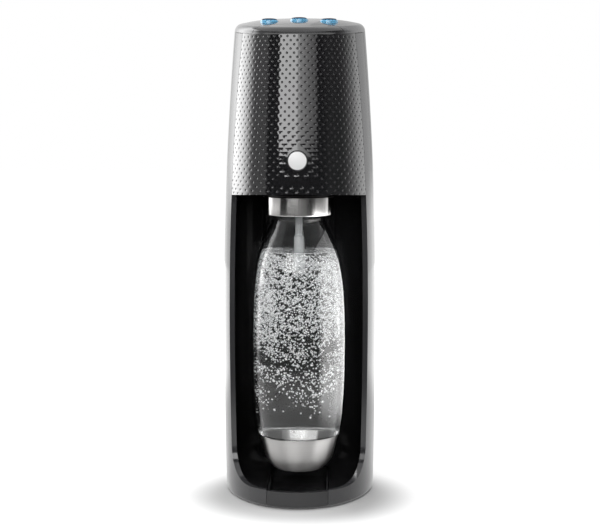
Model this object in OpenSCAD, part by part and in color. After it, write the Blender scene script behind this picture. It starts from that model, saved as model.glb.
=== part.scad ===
// One-touch soda carbonator with its bottle and gas cylinder, in millimetres.
// The front faces -Y, +Z is up, and the origin lies on the table under the middle of the body.

/* [Body] */
// Width of the body at its waist
body_w = 132.2; // [130:0.1:140]
// Depth of the body at its foot
body_d = 182; // [181:1:192]
// Height of the waist, where the body is widest
waist_z = 145; // [120:1:170]
// Height of the shoulder line over the middle of the body
shoulder_z = 395.3; // [394:0.1:410]
// How far each side draws in from waist to shoulder
side_taper = 10.3; // [8:0.1:10.8]
// How far each side draws in from waist to foot
foot_taper = 1.7; // [0:0.1:2]
// Height at which the front and the back start to lean in
lean_z = 60; // [40:1:80]
// How far the front leans back from there to the shoulder
front_lean = 24; // [18:0.5:25]
// How far the back leans in from there to the shoulder
rear_lean = 12; // [6:0.5:13]
// How late the lean comes in: 1 is a straight slope
lean_power = 2.4; // [2:0.1:2.8]
// Rise of the top towards the back, in degrees
top_slope = 5.1; // [3:0.1:6]
// Radius of the rounded edge round the top
top_edge_r = 6.5; // [5:0.1:7.5]
// Height of the top's crown above its rounded edge
top_crown = 3.7; // [2.5:0.1:5]
// Squareness of the plan: 2 is an ellipse
plan_power = 2.05; // [2.02:0.01:2.2]
// Height of the shells' lower rims above the table
rim_z = 1.2; // [1:0.1:2]
// Fillet along the lower rims
rim_fillet = 2; // [1:0.1:2.5]

/* [Shells] */
// Wall of the head panel and the top cover
shell_wall = 2.6; // [2.2:0.1:3]
// Wall of the rear cover
rear_wall = 2.4; // [2:0.1:3]
// Width of the front frame's edge
frame_wall = 4; // [3.5:0.1:4.3]
// Gap at each seam between shells
seam_gap = 0.4; // [0.2:0.1:0.6]
// Distance forward from the middle to the front edge of the side bands, at the waist
band_front = 43; // [42:0.5:44]
// How far that edge leans back as it rises, in degrees
band_tilt = 1.2; // [0.8:0.1:1.5]
// Distance forward from the middle to the rear cover's seam
band_rear = 20; // [16:0.5:24]
// Distance forward from the middle to the seam across the top
top_seam = 50; // [47:0.5:54]
// Height of the head from its lower edge to the shoulder, over the middle
head_h = 140.4; // [139:0.1:142]
// Rise of the head's lower edge towards the front, in degrees
head_tilt = 3.5; // [2:0.1:5]
// Radius of the disc on the head panel
disc_r = 7.6; // [6:0.1:9]
// Height of the disc above the head's lower edge
disc_up = 32.7; // [25:0.1:45]

/* [Bottle bay] */
// Distance from the body's widest line in to the bay, on each side
bay_side = 12.3; // [11.9:0.1:13.1]
// Distance from the middle back to the bay's back wall
bay_back = 11.8; // [11:0.1:12.4]
// Distance forward from the middle to the bottle's axis, as a share of the body's depth
bottle_share = 0.2088; // [0.205:0.0002:0.214]
// Height of the bay's floor
bay_floor = 13; // [12.5:0.1:13.5]
// Fillet between the bay's wall and floor
bay_fillet = 26; // [20:0.5:26]
// Wall of the bay liner
liner_wall = 1.8; // [1.6:0.1:2]
// Height of the base's front lip
lip_z = 15; // [14.5:0.1:17]
// Radius of the corner between side band and lip
lip_r = 30; // [24:0.5:32]
// Width of the raised column on the bay's back wall
column_w = 60; // [50:1:62]

/* [Drip tray] */
// Width of the drip tray
tray_w = 50.6; // [44:0.1:54]
// Distance from the middle back to the tray's rear end
tray_back = 4; // [0:0.5:6]
// Wall of the tray
tray_wall = 1.6; // [1.2:0.1:2]
// Clearance round the sliding tray
tray_gap = 0.35; // [0.3:0.05:0.6]

/* [Bottle] */
// Largest radius of the bottle
bottle_r = 40.4; // [39.5:0.1:41]
// Height of the bottle's foot above the table
bottle_low = 23; // [22.5:0.1:24]
// Wall of the bottle
bottle_wall = 1.6; // [1.2:0.1:2]
// Outer radius of the bottle's neck
neck_r = 19.5; // [18.5:0.1:20]
// How far the bottle's mouth reaches up into the head
mouth_up = 20.1; // [17:0.1:21]
// Radius of the steel cup at its rim
cup_r = 33.9; // [33:0.1:35]
// Height of the steel cup's rim
cup_top = 53.5; // [50:0.1:56]
// Wall of the steel cup
cup_wall = 1; // [0.8:0.1:1.2]

/* [Bottle holder] */
// Outer radius of the steel collar
collar_r = 29.5; // [29:0.1:30]
// How far the collar hangs below the head's lower edge
collar_drop = 14; // [13:0.1:15]
// Height of the collar
collar_h = 15.6; // [14:0.1:16]
// Height of the holder's pivot above the head's lower edge
pivot_up = 33.1; // [31:0.1:35]
// Radius of the holder's pivot pins
pivot_r = 3; // [2.5:0.1:3.5]
// Radius of the carbonation tube
tube_r = 3; // [2.5:0.1:3.2]
// Radius of the sleeve on the lower end of the tube
sleeve_r = 4.2; // [3.6:0.1:4.6]
// Length of the carbonation tube below the bottle's mouth
tube_l = 83; // [77:0.5:89]

/* [Gas cylinder] */
// Gap between the inner frame's spine and the gas cylinder
cyl_ahead = 7.1; // [6.8:0.1:9]
// Gap between the gas cylinder and the back of the body, at its foot
cyl_behind = 10; // [9.6:0.1:12]
// Wall of the gas cylinder
cyl_wall = 3; // [2:0.1:4]
// Height of the cylinder's foot above the table
cyl_low = 18; // [17:0.5:20]
// Height of the cylinder's dome and neck
dome_h = 30; // [28:1:38]
// Radius of the threaded valve on the cylinder
thread_r = 10.8; // [10:0.1:11.5]

/* [Gas drive] */
// Height of the gas drive's shelf above the head's lower edge
shelf_up = 61.1; // [60.1:0.1:62.1]
// Height of the cam shaft above the shelf's lower face
cam_up = 46; // [45.5:0.5:46.5]
// Distance from the gas cylinder's axis forward to the cam shaft
cam_ahead = 43; // [42:0.5:44]
// Height of the valve block's top above the shelf's lower face
block_up = 42; // [41:0.5:43]
// Height of the lever's flat side above the cam shaft
lever_up = 14; // [13.5:0.1:14.5]
// Module of the drive gears
gear_module = 1; // [0.9:0.01:1]
// Teeth of the cam gear
cam_teeth = 36; // [33:3:36]
// Teeth of the motor pinion
pinion_teeth = 12; // [11:1:12]
// Lift of the cam over its working turn
cam_lift = 2.1; // [1.8:0.1:2.2]
// Working turn of the cam, in degrees
cam_turn = 120; // [110:1:130]
// Radius of the lever's pin
lever_pin_r = 2.5; // [2:0.1:2.8]
// Radius of the valve pin
valve_pin_r = 3; // [2.5:0.1:3.2]
// Radius of the motor
motor_r = 12; // [11:0.1:12.5]

/* [Buttons] */
// Radius of a button
button_r = 7.5; // [6.5:0.1:8]
// Distance between neighbouring buttons as a share of the body's half width
button_spread = 0.378; // [0.35:0.002:0.4]
// Distance forward from the middle to the middle button
button_fwd = 25; // [23:0.5:27]
// How much farther forward the outer buttons lie
button_arc = 3; // [2:0.5:4]
// Height of a button above the top
button_rise = 3.4; // [2.5:0.1:4]
// Travel of a button
button_travel = 1.5; // [1:0.1:1.8]

/* [Fits] */
// Radial clearance of a shaft or pin in its bore
run_gap = 0.05; // [0.02:0.01:0.08]
// Clearance between parts that pass without touching
free_gap = 0.3; // [0.2:0.05:0.4]

/* [Hidden] */
$fn = 64;

far = 400;
head_low = shoulder_z - head_h;
disc_z = head_low + disc_up;
mouth_z = head_low + mouth_up;
collar_low = head_low - collar_drop;
pivot_z = head_low + pivot_up;
shelf_z = head_low + shelf_up;
tube_low = mouth_z - tube_l;
bay_r = body_w / 2 - bay_side;
bay_fwd = bay_r - bay_back;
bottle_fwd = bottle_share * body_d;
spine_y = bay_back + liner_wall + free_gap;
cyl_r = (body_d / 2 - cyl_behind - spine_y - cyl_ahead) / 2;
cyl_back = body_d / 2 - cyl_behind - cyl_r;
plan_n = 48;
wall_rings = 9;
black = "#0e0e10";
frame_grey = "#2c2c30";
ink = "#1a1d2a";
steel = "#b8b8ba";

// ---- The body's form: an oval plan that draws in towards a sloping, crowned top ----

function power(v, e) = sign(v) * pow(abs(v), e);
function taper(z) = z > waist_z
    ? side_taper * pow((z - waist_z) / (shoulder_z - waist_z), 2)
    : foot_taper * pow((waist_z - z) / waist_z, 2);
function half_w(z) = body_w / 2 - taper(z);
function lean(z) = pow(max(0, z - lean_z) / (shoulder_z - lean_z), lean_power);
function front_d(z) = body_d / 2 - front_lean * lean(z);
function rear_d(z) = body_d / 2 - rear_lean * lean(z);
function half_d(t, z) = sin(t) < 0 ? front_d(z) : rear_d(z);
function plan_point(t, z, inset) = [
    (half_w(z) - inset) * power(cos(t), 2 / plan_power),
    (half_d(t, z) - inset) * power(sin(t), 2 / plan_power)];
// How far out to the side the body reaches at a height and at a distance forward
function width_at(z, fwd, inset) = (half_w(z) - inset)
    * pow(1 - pow(fwd / (front_d(z) - inset), plan_power), 1 / plan_power);
function shoulder(y) = shoulder_z + y * tan(top_slope);
function turn(k) = 360 * k / plan_n;

// One ring of the wall, at a share f of the way from low to the shoulder
function wall_ring(f, low, inset) = [for (k = [0:plan_n - 1])
    let (t = turn(k), z = low + f * (shoulder(plan_point(t, shoulder_z, inset)[1]) - low),
        p = plan_point(t, z, inset)) [p[0], p[1], z]];
// One ring of the rounded edge, at an angle a over it
function edge_ring(a, r, inset) = [for (k = [0:plan_n - 1])
    let (p = plan_point(turn(k), shoulder_z, inset + r * (1 - cos(a))))
    [p[0], p[1], shoulder(p[1]) + r * sin(a)]];
// One ring of the crown, at a share q of the way out to the edge
function crown_ring(q, r, inset) = [for (k = [0:plan_n - 1])
    let (p = q * plan_point(turn(k), shoulder_z, inset + r))
    [p[0], p[1], shoulder(p[1]) + r + top_crown * (1 - pow(q, 3.4))]];
// One ring of the fillet along the lower rim
function foot_ring(a, inset) = [for (k = [0:plan_n - 1])
    let (z = rim_z + rim_fillet * (1 - sin(a)),
        p = plan_point(turn(k), z, inset + rim_fillet * (1 - cos(a)))) [p[0], p[1], z]];

// Solid skinned over closed rings that run upwards, closed by a point or by the last ring
module skin(rings, tip = []) {
    n = len(rings[0]);
    m = len(rings);
    points = concat([for (r = rings) each r], tip);
    sides = [for (i = [0:m - 2], k = [0:n - 1])
        let (a = i * n + k, b = i * n + (k + 1) % n)
        each [[a, a + n, b], [b, a + n, b + n]]];
    low = [[for (k = [0:n - 1]) k]];
    top = len(tip) > 0
        ? [for (k = [0:n - 1]) [(m - 1) * n + k, m * n, (m - 1) * n + (k + 1) % n]]
        : [[for (k = [n - 1:-1:0]) (m - 1) * n + k]];
    polyhedron(points, concat(sides, low, top));
}

// The rings of the rounded rim and, above it, one ring at a height
function foot_rings(inset) = [for (a = [90, 60, 30, 0]) foot_ring(a, inset)];
function level_ring(z, inset) = [for (k = [0:plan_n - 1])
    let (p = plan_point(turn(k), z, inset)) [p[0], p[1], z]];

// The form from a height upwards, set in by an inset; from the rim it starts with its fillet
module form(inset, low, rounded_foot = false) {
    r = top_edge_r - inset;
    start = rounded_foot ? rim_z + rim_fillet : low;
    steps = max(2, round(wall_rings * (shoulder_z - low) / shoulder_z));
    skin(concat(
        rounded_foot ? foot_rings(inset) : [],
        [for (i = [rounded_foot ? 1 : 0:steps]) wall_ring(i / steps, start, inset)],
        [for (a = [25, 50, 75]) edge_ring(a, r, inset)],
        [for (q = [1, 0.88, 0.65, 0.35]) crown_ring(q, r, inset)]),
        [[0, 0, shoulder_z + r + top_crown]]);
}

// The lowest part of the form, up to a height
module foot_form(inset, top) {
    skin(concat(foot_rings(inset), [level_ring(top, inset)]));
}

// Flat plan of the body at a height, set in by an inset
module plan(z, inset) {
    polygon([for (k = [0:plan_n - 1]) plan_point(turn(k), z, inset)]);
}

module shell(wall, low, rounded_foot = false) {
    difference() {
        form(0, low, rounded_foot);
        form(wall, low - 1);
    }
}

// Everything below the plane of the shoulder, moved up by rise
module below_shoulder(rise) {
    translate([0, 0, shoulder_z + rise])
        rotate([top_slope, 0, 0])
            translate([-far / 2, -far / 2, -far * 2])
                cube([far, far, far * 2]);
}

// Everything above the plane of the head's lower edge, moved up by rise
module above_head_low(rise) {
    translate([0, 0, head_low + rise])
        rotate([-head_tilt, 0, 0])
            translate([-far / 2, -far / 2, 0])
                cube([far, far, far]);
}

// A slab across the body between two distances from the middle, seen from above
module slab(y0, y1, z0 = -1, z1 = far * 2) {
    translate([-far / 2, y0, z0])
        cube([far, y1 - y0, z1 - z0]);
}

// Everything behind the leaning plane of the side bands' front edges, moved back by shift
module behind_band(shift) {
    translate([0, -band_front, waist_z])
        rotate([-band_tilt, 0, 0])
            translate([-far / 2, shift, -far])
                cube([far, far, far * 2]);
}

// The bay's mouth seen from the side: open forward, with a round corner over the lip
module mouth() {
    ahead = [-cos(band_tilt), sin(band_tilt)];
    corner_z = lip_z + lip_r;
    corner = [-band_front + (lip_r - ahead[1] * (corner_z - waist_z)) / ahead[0], corner_z];
    edge = corner - lip_r * ahead;
    rotate([90, 0, 90])
        linear_extrude(far, center = true) {
            polygon([edge, edge + far * [ahead[1], -ahead[0]], [-far, far], [-far, lip_z],
                [corner[0], lip_z], corner]);
            translate(corner)
                circle(lip_r, $fn = 96);
        }
}

// ---- Shells ----

edge_lip = 1.5;
tie_y = -36;
tie_z = shelf_z + 4;
tie_d = 4;
tie_h = 10;

module front_frame() {
    color(frame_grey) {
        difference() {
            intersection() {
                shell(frame_wall, rim_z, true);
                below_shoulder(-seam_gap / 2);
                slab(-far / 2, -band_rear - seam_gap / 2);
            }
            mouth();
            translate([-tray_w / 2 - tray_gap, -far / 2, 0])
                cube([tray_w + 2 * tray_gap, far / 2 - band_front, lip_z * 2]);
            intersection() {
                bay_solid(liner_wall + 0.2, head_low + 4);
                behind_band(edge_lip);
            }
        }
        intersection() {
            slab(tie_y, tie_y + tie_d, tie_z, tie_z + tie_h);
            linear_extrude(far)
                plan(tie_z + tie_h / 2, frame_wall / 2);
        }
    }
}

module head_panel() {
    color("#1d1d20")
        difference() {
            intersection() {
                shell(shell_wall, head_low - 4);
                above_head_low(0);
            }
            behind_band(-seam_gap);
            difference() {
                slab(-top_seam, 0, shoulder_z - 20);
                below_shoulder(0);
            }
            disc_bore(disc_r + 0.15);
        }
}

// A short bore square to the head panel's face, from outside it to a depth below its face
module disc_bore(r) {
    face_lean = atan(front_d(disc_z) - front_d(disc_z + 1));
    translate([0, -front_d(disc_z), disc_z])
        rotate([90 - face_lean, 0, 0])
            translate([0, 0, -0.9])
                cylinder(h = 8, r = r);
}

module panel_disc() {
    color("white")
        intersection() {
            form(-0.2, disc_z - 40);
            disc_bore(disc_r);
        }
}

module top_cover() {
    color("#3a3a3e")
        difference() {
            intersection() {
                shell(shell_wall, shoulder_z - 40);
                slab(-top_seam + seam_gap, far / 2);
            }
            below_shoulder(seam_gap / 2);
            for (i = [-1:1])
                button_at(i)
                    cylinder(h = 40, r = button_r + free_gap, center = true);
        }
}

base_top = rim_z + 2.5;
latch_z = shoulder_z - 29.3;
latch_w = 26;
latch_h = 11;
latch_y = 40;
latch_t = rear_wall + 4;
inlet_w = 11;
inlet_h = 11;
inlet_d = 8;
inlet_edge = 1;
inlet_wall = 1.5;
jack_r = 2.8;
jack_pin_r = 1.05;
inlet_turn = 129;
inlet_place = plan_point(120, rim_z, rear_wall + inlet_edge + 0.2);

module rear_cover() {
    color(black)
        difference() {
            intersection() {
                shell(rear_wall, rim_z, true);
                slab(-band_rear + seam_gap / 2, far / 2);
                below_shoulder(-seam_gap / 2);
            }
            translate([-latch_w / 2, latch_y, latch_z - latch_h / 2])
                cube([latch_w, far, latch_h]);
            at_inlet()
                translate([-rear_wall, -inlet_w / 2 - inlet_edge, -base_top])
                    cube([2 * inlet_d, inlet_w + 2 * inlet_edge, base_top + inlet_h + inlet_edge]);
        }
}

// Puts +X square to the cover's wall at the power inlet, with the origin at the inlet's face
module at_inlet() {
    translate([inlet_place[0], inlet_place[1], base_top])
        rotate(inlet_turn)
            children();
}

module rear_latch() {
    gap = free_gap;
    color(black)
        intersection() {
            difference() {
                form(0, latch_z - 60);
                form(latch_t, latch_z - 61);
            }
            translate([-latch_w / 2 + gap, latch_y, latch_z - latch_h / 2 + gap])
                cube([latch_w - 2 * gap, far, latch_h - 2 * gap]);
        }
}

// ---- Bay and base ----

// Half of the bay's upright section, grown by a wall
module bay_section(grow, top) {
    fillet = bay_fillet + grow;
    low = bay_floor - grow;
    flat = bay_r - bay_fillet;
    translate([0, low])
        square([flat, top - low]);
    translate([0, low + fillet])
        square([flat + fillet, top - low - fillet]);
    intersection() {
        translate([flat, low + fillet])
            circle(fillet, $fn = 96);
        translate([0, low])
            square([far, far]);
    }
}

// The bay as a solid: round at the back and straight towards the front
module bay_solid(grow, top) {
    translate([0, -bay_fwd, 0]) {
        rotate_extrude(angle = 180, $fn = 128)
            bay_section(grow, top);
        rotate([90, 0, 0])
            linear_extrude(far / 4) {
                bay_section(grow, top);
                mirror([1, 0])
                    bay_section(grow, top);
            }
    }
}

boss_x = bay_r - 15.8;
boss_y = -48;
boss_r = 4;
boss_hole = 7;
column_d = 2;
spine_foot = 6.4;

module alcove_liner() {
    color(black)
        difference() {
            union() {
                intersection() {
                    bay_solid(liner_wall, head_low + far / 20);
                    union() {
                        behind_band(edge_lip + 0.2);
                        difference() {
                            linear_extrude(far / 4)
                                plan(rim_z, frame_wall + free_gap);
                            mouth();
                            behind_band(edge_lip);
                        }
                    }
                }
                for (s = [-1, 1])
                    translate([s * boss_x, boss_y, base_top])
                        cylinder(h = bay_floor - base_top + 2, r = boss_r);
            }
            difference() {
                bay_solid(0, far);
                difference() {
                    translate([-column_w / 2, 0, bay_floor + bay_fillet])
                        cube([column_w, far / 4, far]);
                    translate([0, -bay_fwd, 0])
                        cylinder(h = far * 2, r = bay_r - column_d, $fn = 128);
                }
            }
            above_head_low(0);
            translate([-tray_w / 2 - tray_gap, -far / 2, base_top])
                cube([tray_w + 2 * tray_gap, far / 2 + tray_back + tray_gap, bay_floor]);
            for (s = [-1, 1])
                translate([s * boss_x, boss_y, base_top - 1])
                    cylinder(h = boss_hole + 1, r = screw_r + run_gap);
        }
}

underplate_t = 2.4;
panel_room = shell_wall + 0.9;
holder_slot = 2 * collar_r + 4;
holder_swing = front_d(head_low) - panel_room - bottle_fwd - holder_slot / 2 - 2.5;

module head_underplate() {
    color(black)
        translate([0, 0, head_low + free_gap])
            rotate([-head_tilt, 0, 0])
                linear_extrude(underplate_t)
                    difference() {
                        underplate_plan();
                        swing_slot();
                    }
}

// The head's floor seen from above: a front part inside the head panel, a round part over the bay
module underplate_plan() {
    intersection() {
        plan(head_low, panel_room);
        translate([-far / 2, -far / 2])
            square([far, far / 2 - band_front + 1]);
    }
    intersection() {
        plan(head_low, frame_wall + free_gap);
        translate([0, -bay_fwd])
            circle(bay_r + liner_wall, $fn = 128);
    }
}

// The slot that the bottle holder passes through and swings forward in
module swing_slot() {
    translate([-holder_slot / 2, -bottle_fwd - holder_swing])
        square([holder_slot, holder_swing]);
    for (y = [0, holder_swing])
        translate([0, -bottle_fwd - y])
            circle(holder_slot / 2, $fn = 96);
}

screw_r = 1.5;
screw_l = 8;
screw_head_r = 3;
screw_head_h = 1.3;
hex_r = 1.2;
hex_deep = 0.8;
foot_r = 7;
foot_x = boss_x;
foot_front = -46;
foot_rear = 56;
foot_edge = 0.4;
rear_screw_x = 24;
rear_screw_y = spine_y + spine_foot / 2;
screw_places = [[-boss_x, boss_y], [boss_x, boss_y], [-rear_screw_x, rear_screw_y],
    [rear_screw_x, rear_screw_y]];

module base_plate() {
    color("#18181a")
        difference() {
            translate([0, 0, rim_z])
                linear_extrude(base_top - rim_z)
                    plan(rim_z, frame_wall + free_gap);
            for (p = screw_places)
                translate([p[0], p[1], rim_z - 1]) {
                    cylinder(h = screw_l, r = screw_r + 0.2);
                    cylinder(h = screw_head_h + 1.1, r = screw_head_r + 0.2);
                }
        }
}

module feet() {
    color("#202020")
        for (x = [-foot_x, foot_x], y = [foot_front, foot_rear])
            translate([x, y, 0])
                rotate_extrude()
                    polygon([[0, 0], [foot_r - foot_edge, 0], [foot_r, foot_edge], [foot_r, rim_z],
                        [0, rim_z]]);
}

module base_screws() {
    color(steel)
        for (p = screw_places)
            translate([p[0], p[1], rim_z + 0.1]) {
                difference() {
                    cylinder(h = screw_head_h, r = screw_head_r);
                    translate([0, 0, -0.1])
                        cylinder(h = hex_deep + 0.1, r = hex_r, $fn = 6);
                }
                cylinder(h = screw_l, r = screw_r);
            }
}

module drip_tray() {
    rim = bay_floor - 0.4;
    low = base_top + free_gap;
    color("#151517") {
        intersection() {
            difference() {
                foot_form(0, lip_z * 2);
                linear_extrude(lip_z * 3)
                    plan(rim_z, frame_wall);
            }
            translate([-tray_w / 2, -far / 2, 0])
                cube([tray_w, far / 2 - band_front, lip_z - 0.5]);
        }
        difference() {
            tray_block(tray_w - 0.4, frame_wall - 1, tray_back, low, rim);
            tray_block(tray_w - 2 * tray_wall, frame_wall + 1, tray_back - tray_wall,
                low + tray_wall, far);
        }
    }
}

// A straight block from the tray's back to the inside of the base's front wall
module tray_block(w, inset, back, low, top) {
    intersection() {
        translate([-w / 2, -far / 2, low])
            cube([w, far / 2 + back, top - low]);
        linear_extrude(far)
            plan(rim_z, inset);
    }
}

// ---- Inner frame ----

spine_t = 3;
spine_w = 70;
spine_foot_h = 5;
rib_d = 8;
shelf_t = 3.5;
shelf_fwd = 10;
shelf_behind = 24;
ear_t = 3.5;
ear_x = collar_r + 2.3;
ear_w = 16;
cradle_h = 8;
cradle_t = 5;
cradle_shares = [0.38, 0.83];
hose_slot = [8, 24];
dome_z = shelf_z - 2 - dome_h;

module chassis() {
    color("#26262a")
        difference() {
            union() {
                spine();
                drive_shelf();
                for (s = [-1, 1])
                    translate([s * (ear_x + ear_t / 2) - ear_t / 2, -bottle_fwd - ear_w / 2,
                        pivot_z - ear_w / 2])
                        cube([ear_t, ear_w, shelf_z - pivot_z + ear_w / 2 + 1]);
                for (f = cradle_shares)
                    cradle(cyl_low + f * (dome_z - cyl_low));
            }
            translate([0, cyl_back, shelf_z - 1])
                cylinder(h = shelf_t + 2, r = block_r - 2);
            holder_axis(-ear_x - 2 * ear_t, ear_x + 2 * ear_t, pivot_r + run_gap);
            translate([-hose_x - hose_slot[0] / 2, -bottle_fwd + 6, shelf_z - 1])
                cube([hose_slot[0], hose_slot[1], shelf_t + 2]);
            for (s = [-1, 1])
                translate([s * rear_screw_x, rear_screw_y, base_top - 1])
                    cylinder(h = boss_hole + 1, r = screw_r + run_gap);
        }
}

// The upright back of the frame: a plate with a rib down each edge and a foot for two screws
module spine() {
    tall = shelf_z - base_top + 1;
    translate([-spine_w / 2, spine_y, base_top]) {
        cube([spine_w, spine_t, tall]);
        cube([spine_w, spine_foot, spine_foot_h]);
        for (x = [0, spine_w - spine_t])
            translate([x, 0, 0])
                cube([spine_t, rib_d, tall]);
    }
}

// The shelf across the top of the spine, shaped to the body
module drive_shelf() {
    translate([0, 0, shelf_z])
        linear_extrude(shelf_t)
            intersection() {
                plan(shelf_z, shell_wall + spine_t);
                translate([-far / 2, -bottle_fwd - shelf_fwd])
                    square([far, bottle_fwd + shelf_fwd + cyl_back + shelf_behind]);
            }
}

// A curved rest that stands out of the spine and half holds the gas cylinder
module cradle(z) {
    intersection() {
        translate([0, cyl_back, z])
            difference() {
                cylinder(h = cradle_h, r = cyl_r + 1 + cradle_t);
                translate([0, 0, -1])
                    cylinder(h = cradle_h + 2, r = cyl_r + 1);
            }
        slab(spine_y, cyl_back - cyl_r / 5);
    }
}

// ---- Gas drive: motor, pinion, cam gear, cam, lever and valve pin ----

gear_centres = gear_module * (cam_teeth + pinion_teeth) / 2;
shelf_top = shelf_z + shelf_t;
shaft_r = 3;
cam_y = cyl_back - cam_ahead;
cam_z = shelf_z + cam_up;
cam_w = 8;
cam_gap = 0.3;
cam_bore = shaft_r + 0.01;
cam_spare = 1.06;
lever_z = cam_z + lever_up;
lever_t = 8;
cam_base_r = lever_z - cam_z - cam_gap;
pinion_y = cam_y - gear_centres;
gear_x = cam_w / 2 + 4.5;
gear_w = 4;
gear_hub = 1.2;
hub_r = 7;
web_r = (hub_r + gear_module * cam_teeth / 2) * 0.44;
web_hole_r = 2.6;
plate_x = gear_x + gear_w + 1.5;
plate_t = 2.5;
motor_shaft_r = 1.15;
motor_room = 3.4;
motor_l = width_at(cam_z, motor_r - pinion_y, frame_wall) - motor_room - plate_x - plate_t;
motor_boss_r = 5;
motor_boss_l = 2.5;
motor_flat = 1.5;
pinion_tail = 8;
block_r = 18;
block_low = shelf_top;
block_top = shelf_z + block_up;
bore_top = block_top - 6;
lever_y = cyl_back - 18;
lever_pin_z = lever_z + lever_t / 2;
lever_front = cam_y - 4;
lever_rear = cyl_back + 5;

function involute(rb, a) = rb * [cos(a) + a * PI / 180 * sin(a), sin(a) - a * PI / 180 * cos(a)];
function spun(p, a) = [p[0] * cos(a) - p[1] * sin(a), p[0] * sin(a) + p[1] * cos(a)];

// Stub-toothed involute gear blank outline
function gear_points(teeth, m) =
    let (r = m * teeth / 2, rb = r * cos(20), tip = r + 0.8 * m, root = r - 1.1 * m,
        tip_a = sqrt(pow(tip / rb, 2) - 1) * 180 / PI,
        pitch_a = sqrt(pow(r / rb, 2) - 1) * 180 / PI,
        inv_pitch = pitch_a - atan(pitch_a * PI / 180),
        half = 90 / teeth - 3 / r + inv_pitch,
        flank = [for (i = [0:3]) involute(rb, tip_a * i / 3)],
        left = concat([[min(root, rb), 0]], flank))
    [for (k = [0:teeth - 1]) each concat(
        [for (p = left) spun(p, 360 * k / teeth - half)],
        [for (i = [len(left) - 1:-1:0]) spun([left[i][0], -left[i][1]], 360 * k / teeth + half)])];

// Turns a shape drawn in (y, z) and extruded upwards so that it is extruded along +X
module along_x() {
    rotate([90, 0, 90])
        children();
}

module cam_gear() {
    color("white")
        difference() {
            translate([gear_x, cam_y, cam_z])
                along_x() {
                    linear_extrude(gear_w)
                        polygon(gear_points(cam_teeth, gear_module));
                    translate([0, 0, -gear_hub])
                        cylinder(h = gear_w + gear_hub + 0.8, r = hub_r);
                }
            cam_axis(far, cam_bore);
            for (a = [30:60:330])
                translate([0, cam_y + web_r * cos(a), cam_z + web_r * sin(a)])
                    along_x()
                        cylinder(h = far, r = web_hole_r);
        }
}

module cam_axis(length, r) {
    translate([-length / 2, cam_y, cam_z])
        along_x()
            cylinder(h = length, r = r);
}

// Cam whose rim rises evenly over its working turn, so that the lever moves evenly with it
module cam() {
    worked = cam_turn * cam_spare;
    lift = [for (i = [0:24]) let (a = 90 - worked * i / 24)
        (cam_base_r + cam_lift * min(1, (90 - a) / cam_turn)) * [cos(a), sin(a)]];
    back = [for (i = [1:23]) let (a = 90 - worked - (360 - worked) * i / 24)
        (cam_base_r - 1 + (cam_lift + 1) * pow(1 - i / 24, 3)) * [cos(a), sin(a)]];
    color("ivory")
        difference() {
            translate([-cam_w / 2, cam_y, cam_z])
                along_x()
                    linear_extrude(cam_w)
                        polygon(concat(lift, back));
            cam_axis(far, cam_bore);
        }
}

module cam_shaft() {
    color(steel)
        cam_axis(2 * (plate_x + plate_t + 1), shaft_r);
}

module motor_pinion() {
    color("gold")
        translate([gear_x, pinion_y, cam_z])
            along_x() {
                rotate(180 / pinion_teeth)
                    linear_extrude(gear_w)
                        polygon(gear_points(pinion_teeth, gear_module));
                cylinder(h = plate_x + plate_t - gear_x + pinion_tail, r = motor_shaft_r);
            }
}

module motor() {
    x = plate_x + plate_t;
    color(steel)
        translate([x, pinion_y, cam_z])
            difference() {
                along_x() {
                    cylinder(h = motor_l, r = motor_r);
                    translate([0, 0, motor_l])
                        cylinder(h = motor_boss_l, r = motor_boss_r);
                }
                translate([-1, 0, 0])
                    along_x()
                        cylinder(h = pinion_tail + 4, r = motor_shaft_r + run_gap);
                for (s = [-1, 1])
                    translate([motor_l / 2 - 1, 0, s * motor_r])
                        cube([motor_l - 6, 2 * motor_r, 2 * motor_flat], center = true);
            }
}

// Two side plates on a common sole, which carry the cam shaft and the motor
module gearbox_frame() {
    y0 = pinion_y - 9;
    y1 = cam_y + 10;
    tall = cam_z + shaft_r + 8 - shelf_top;
    window = [16, 12];
    color("#3a3a40")
        difference() {
            union() {
                for (x = [-plate_x - plate_t, plate_x])
                    translate([x, y0, shelf_top])
                        cube([plate_t, y1 - y0, tall]);
                translate([-plate_x - plate_t, y0, shelf_top])
                    cube([2 * (plate_x + plate_t), y1 - y0, plate_t]);
            }
            cam_axis(far, shaft_r + run_gap);
            translate([-far / 2, pinion_y, cam_z])
                along_x()
                    cylinder(h = far, r = shaft_r + 1);
            translate([-far / 2, cam_y - 12, shelf_top + 8])
                cube([far, window[0], window[1]]);
        }
}

module lever() {
    color(steel)
        difference() {
            translate([-cam_w / 2, 0, 0])
                along_x()
                    linear_extrude(cam_w) {
                        polygon([[lever_front, lever_z], [cam_y + 8, lever_z],
                            [lever_y - 7, lever_z - 1.2], [lever_y + 6, lever_z - 1.2],
                            [cyl_back - 5, lever_z + cam_gap], [lever_rear, lever_z + cam_gap],
                            [lever_rear, lever_z + 4], [lever_y + 6, lever_z + lever_t + 1],
                            [lever_y - 6, lever_z + lever_t + 1], [lever_front, lever_z + 4]]);
                    }
            lever_axis(far, lever_pin_r + run_gap);
        }
}

module lever_axis(length, r) {
    translate([-length / 2, lever_y, lever_pin_z])
        along_x()
            cylinder(h = length, r = r);
}

module lever_pin() {
    color(steel)
        lever_axis(2 * (cheek_x + cheek_t) + 1, lever_pin_r);
}

cheek_x = cam_w / 2 + 0.5;
cheek_t = 3;
cheek_low = shelf_z + 24;
cheek_d = 14;
flange_w = 44;
flange_d = 12;
flange_h = 5;
nipple_x = 12;
nipple_y = cyl_back - 10;
nipple_z = shelf_z + 27;
nipple_r = 4;
nipple_l = 8;
nipple_turn = 25;

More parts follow.
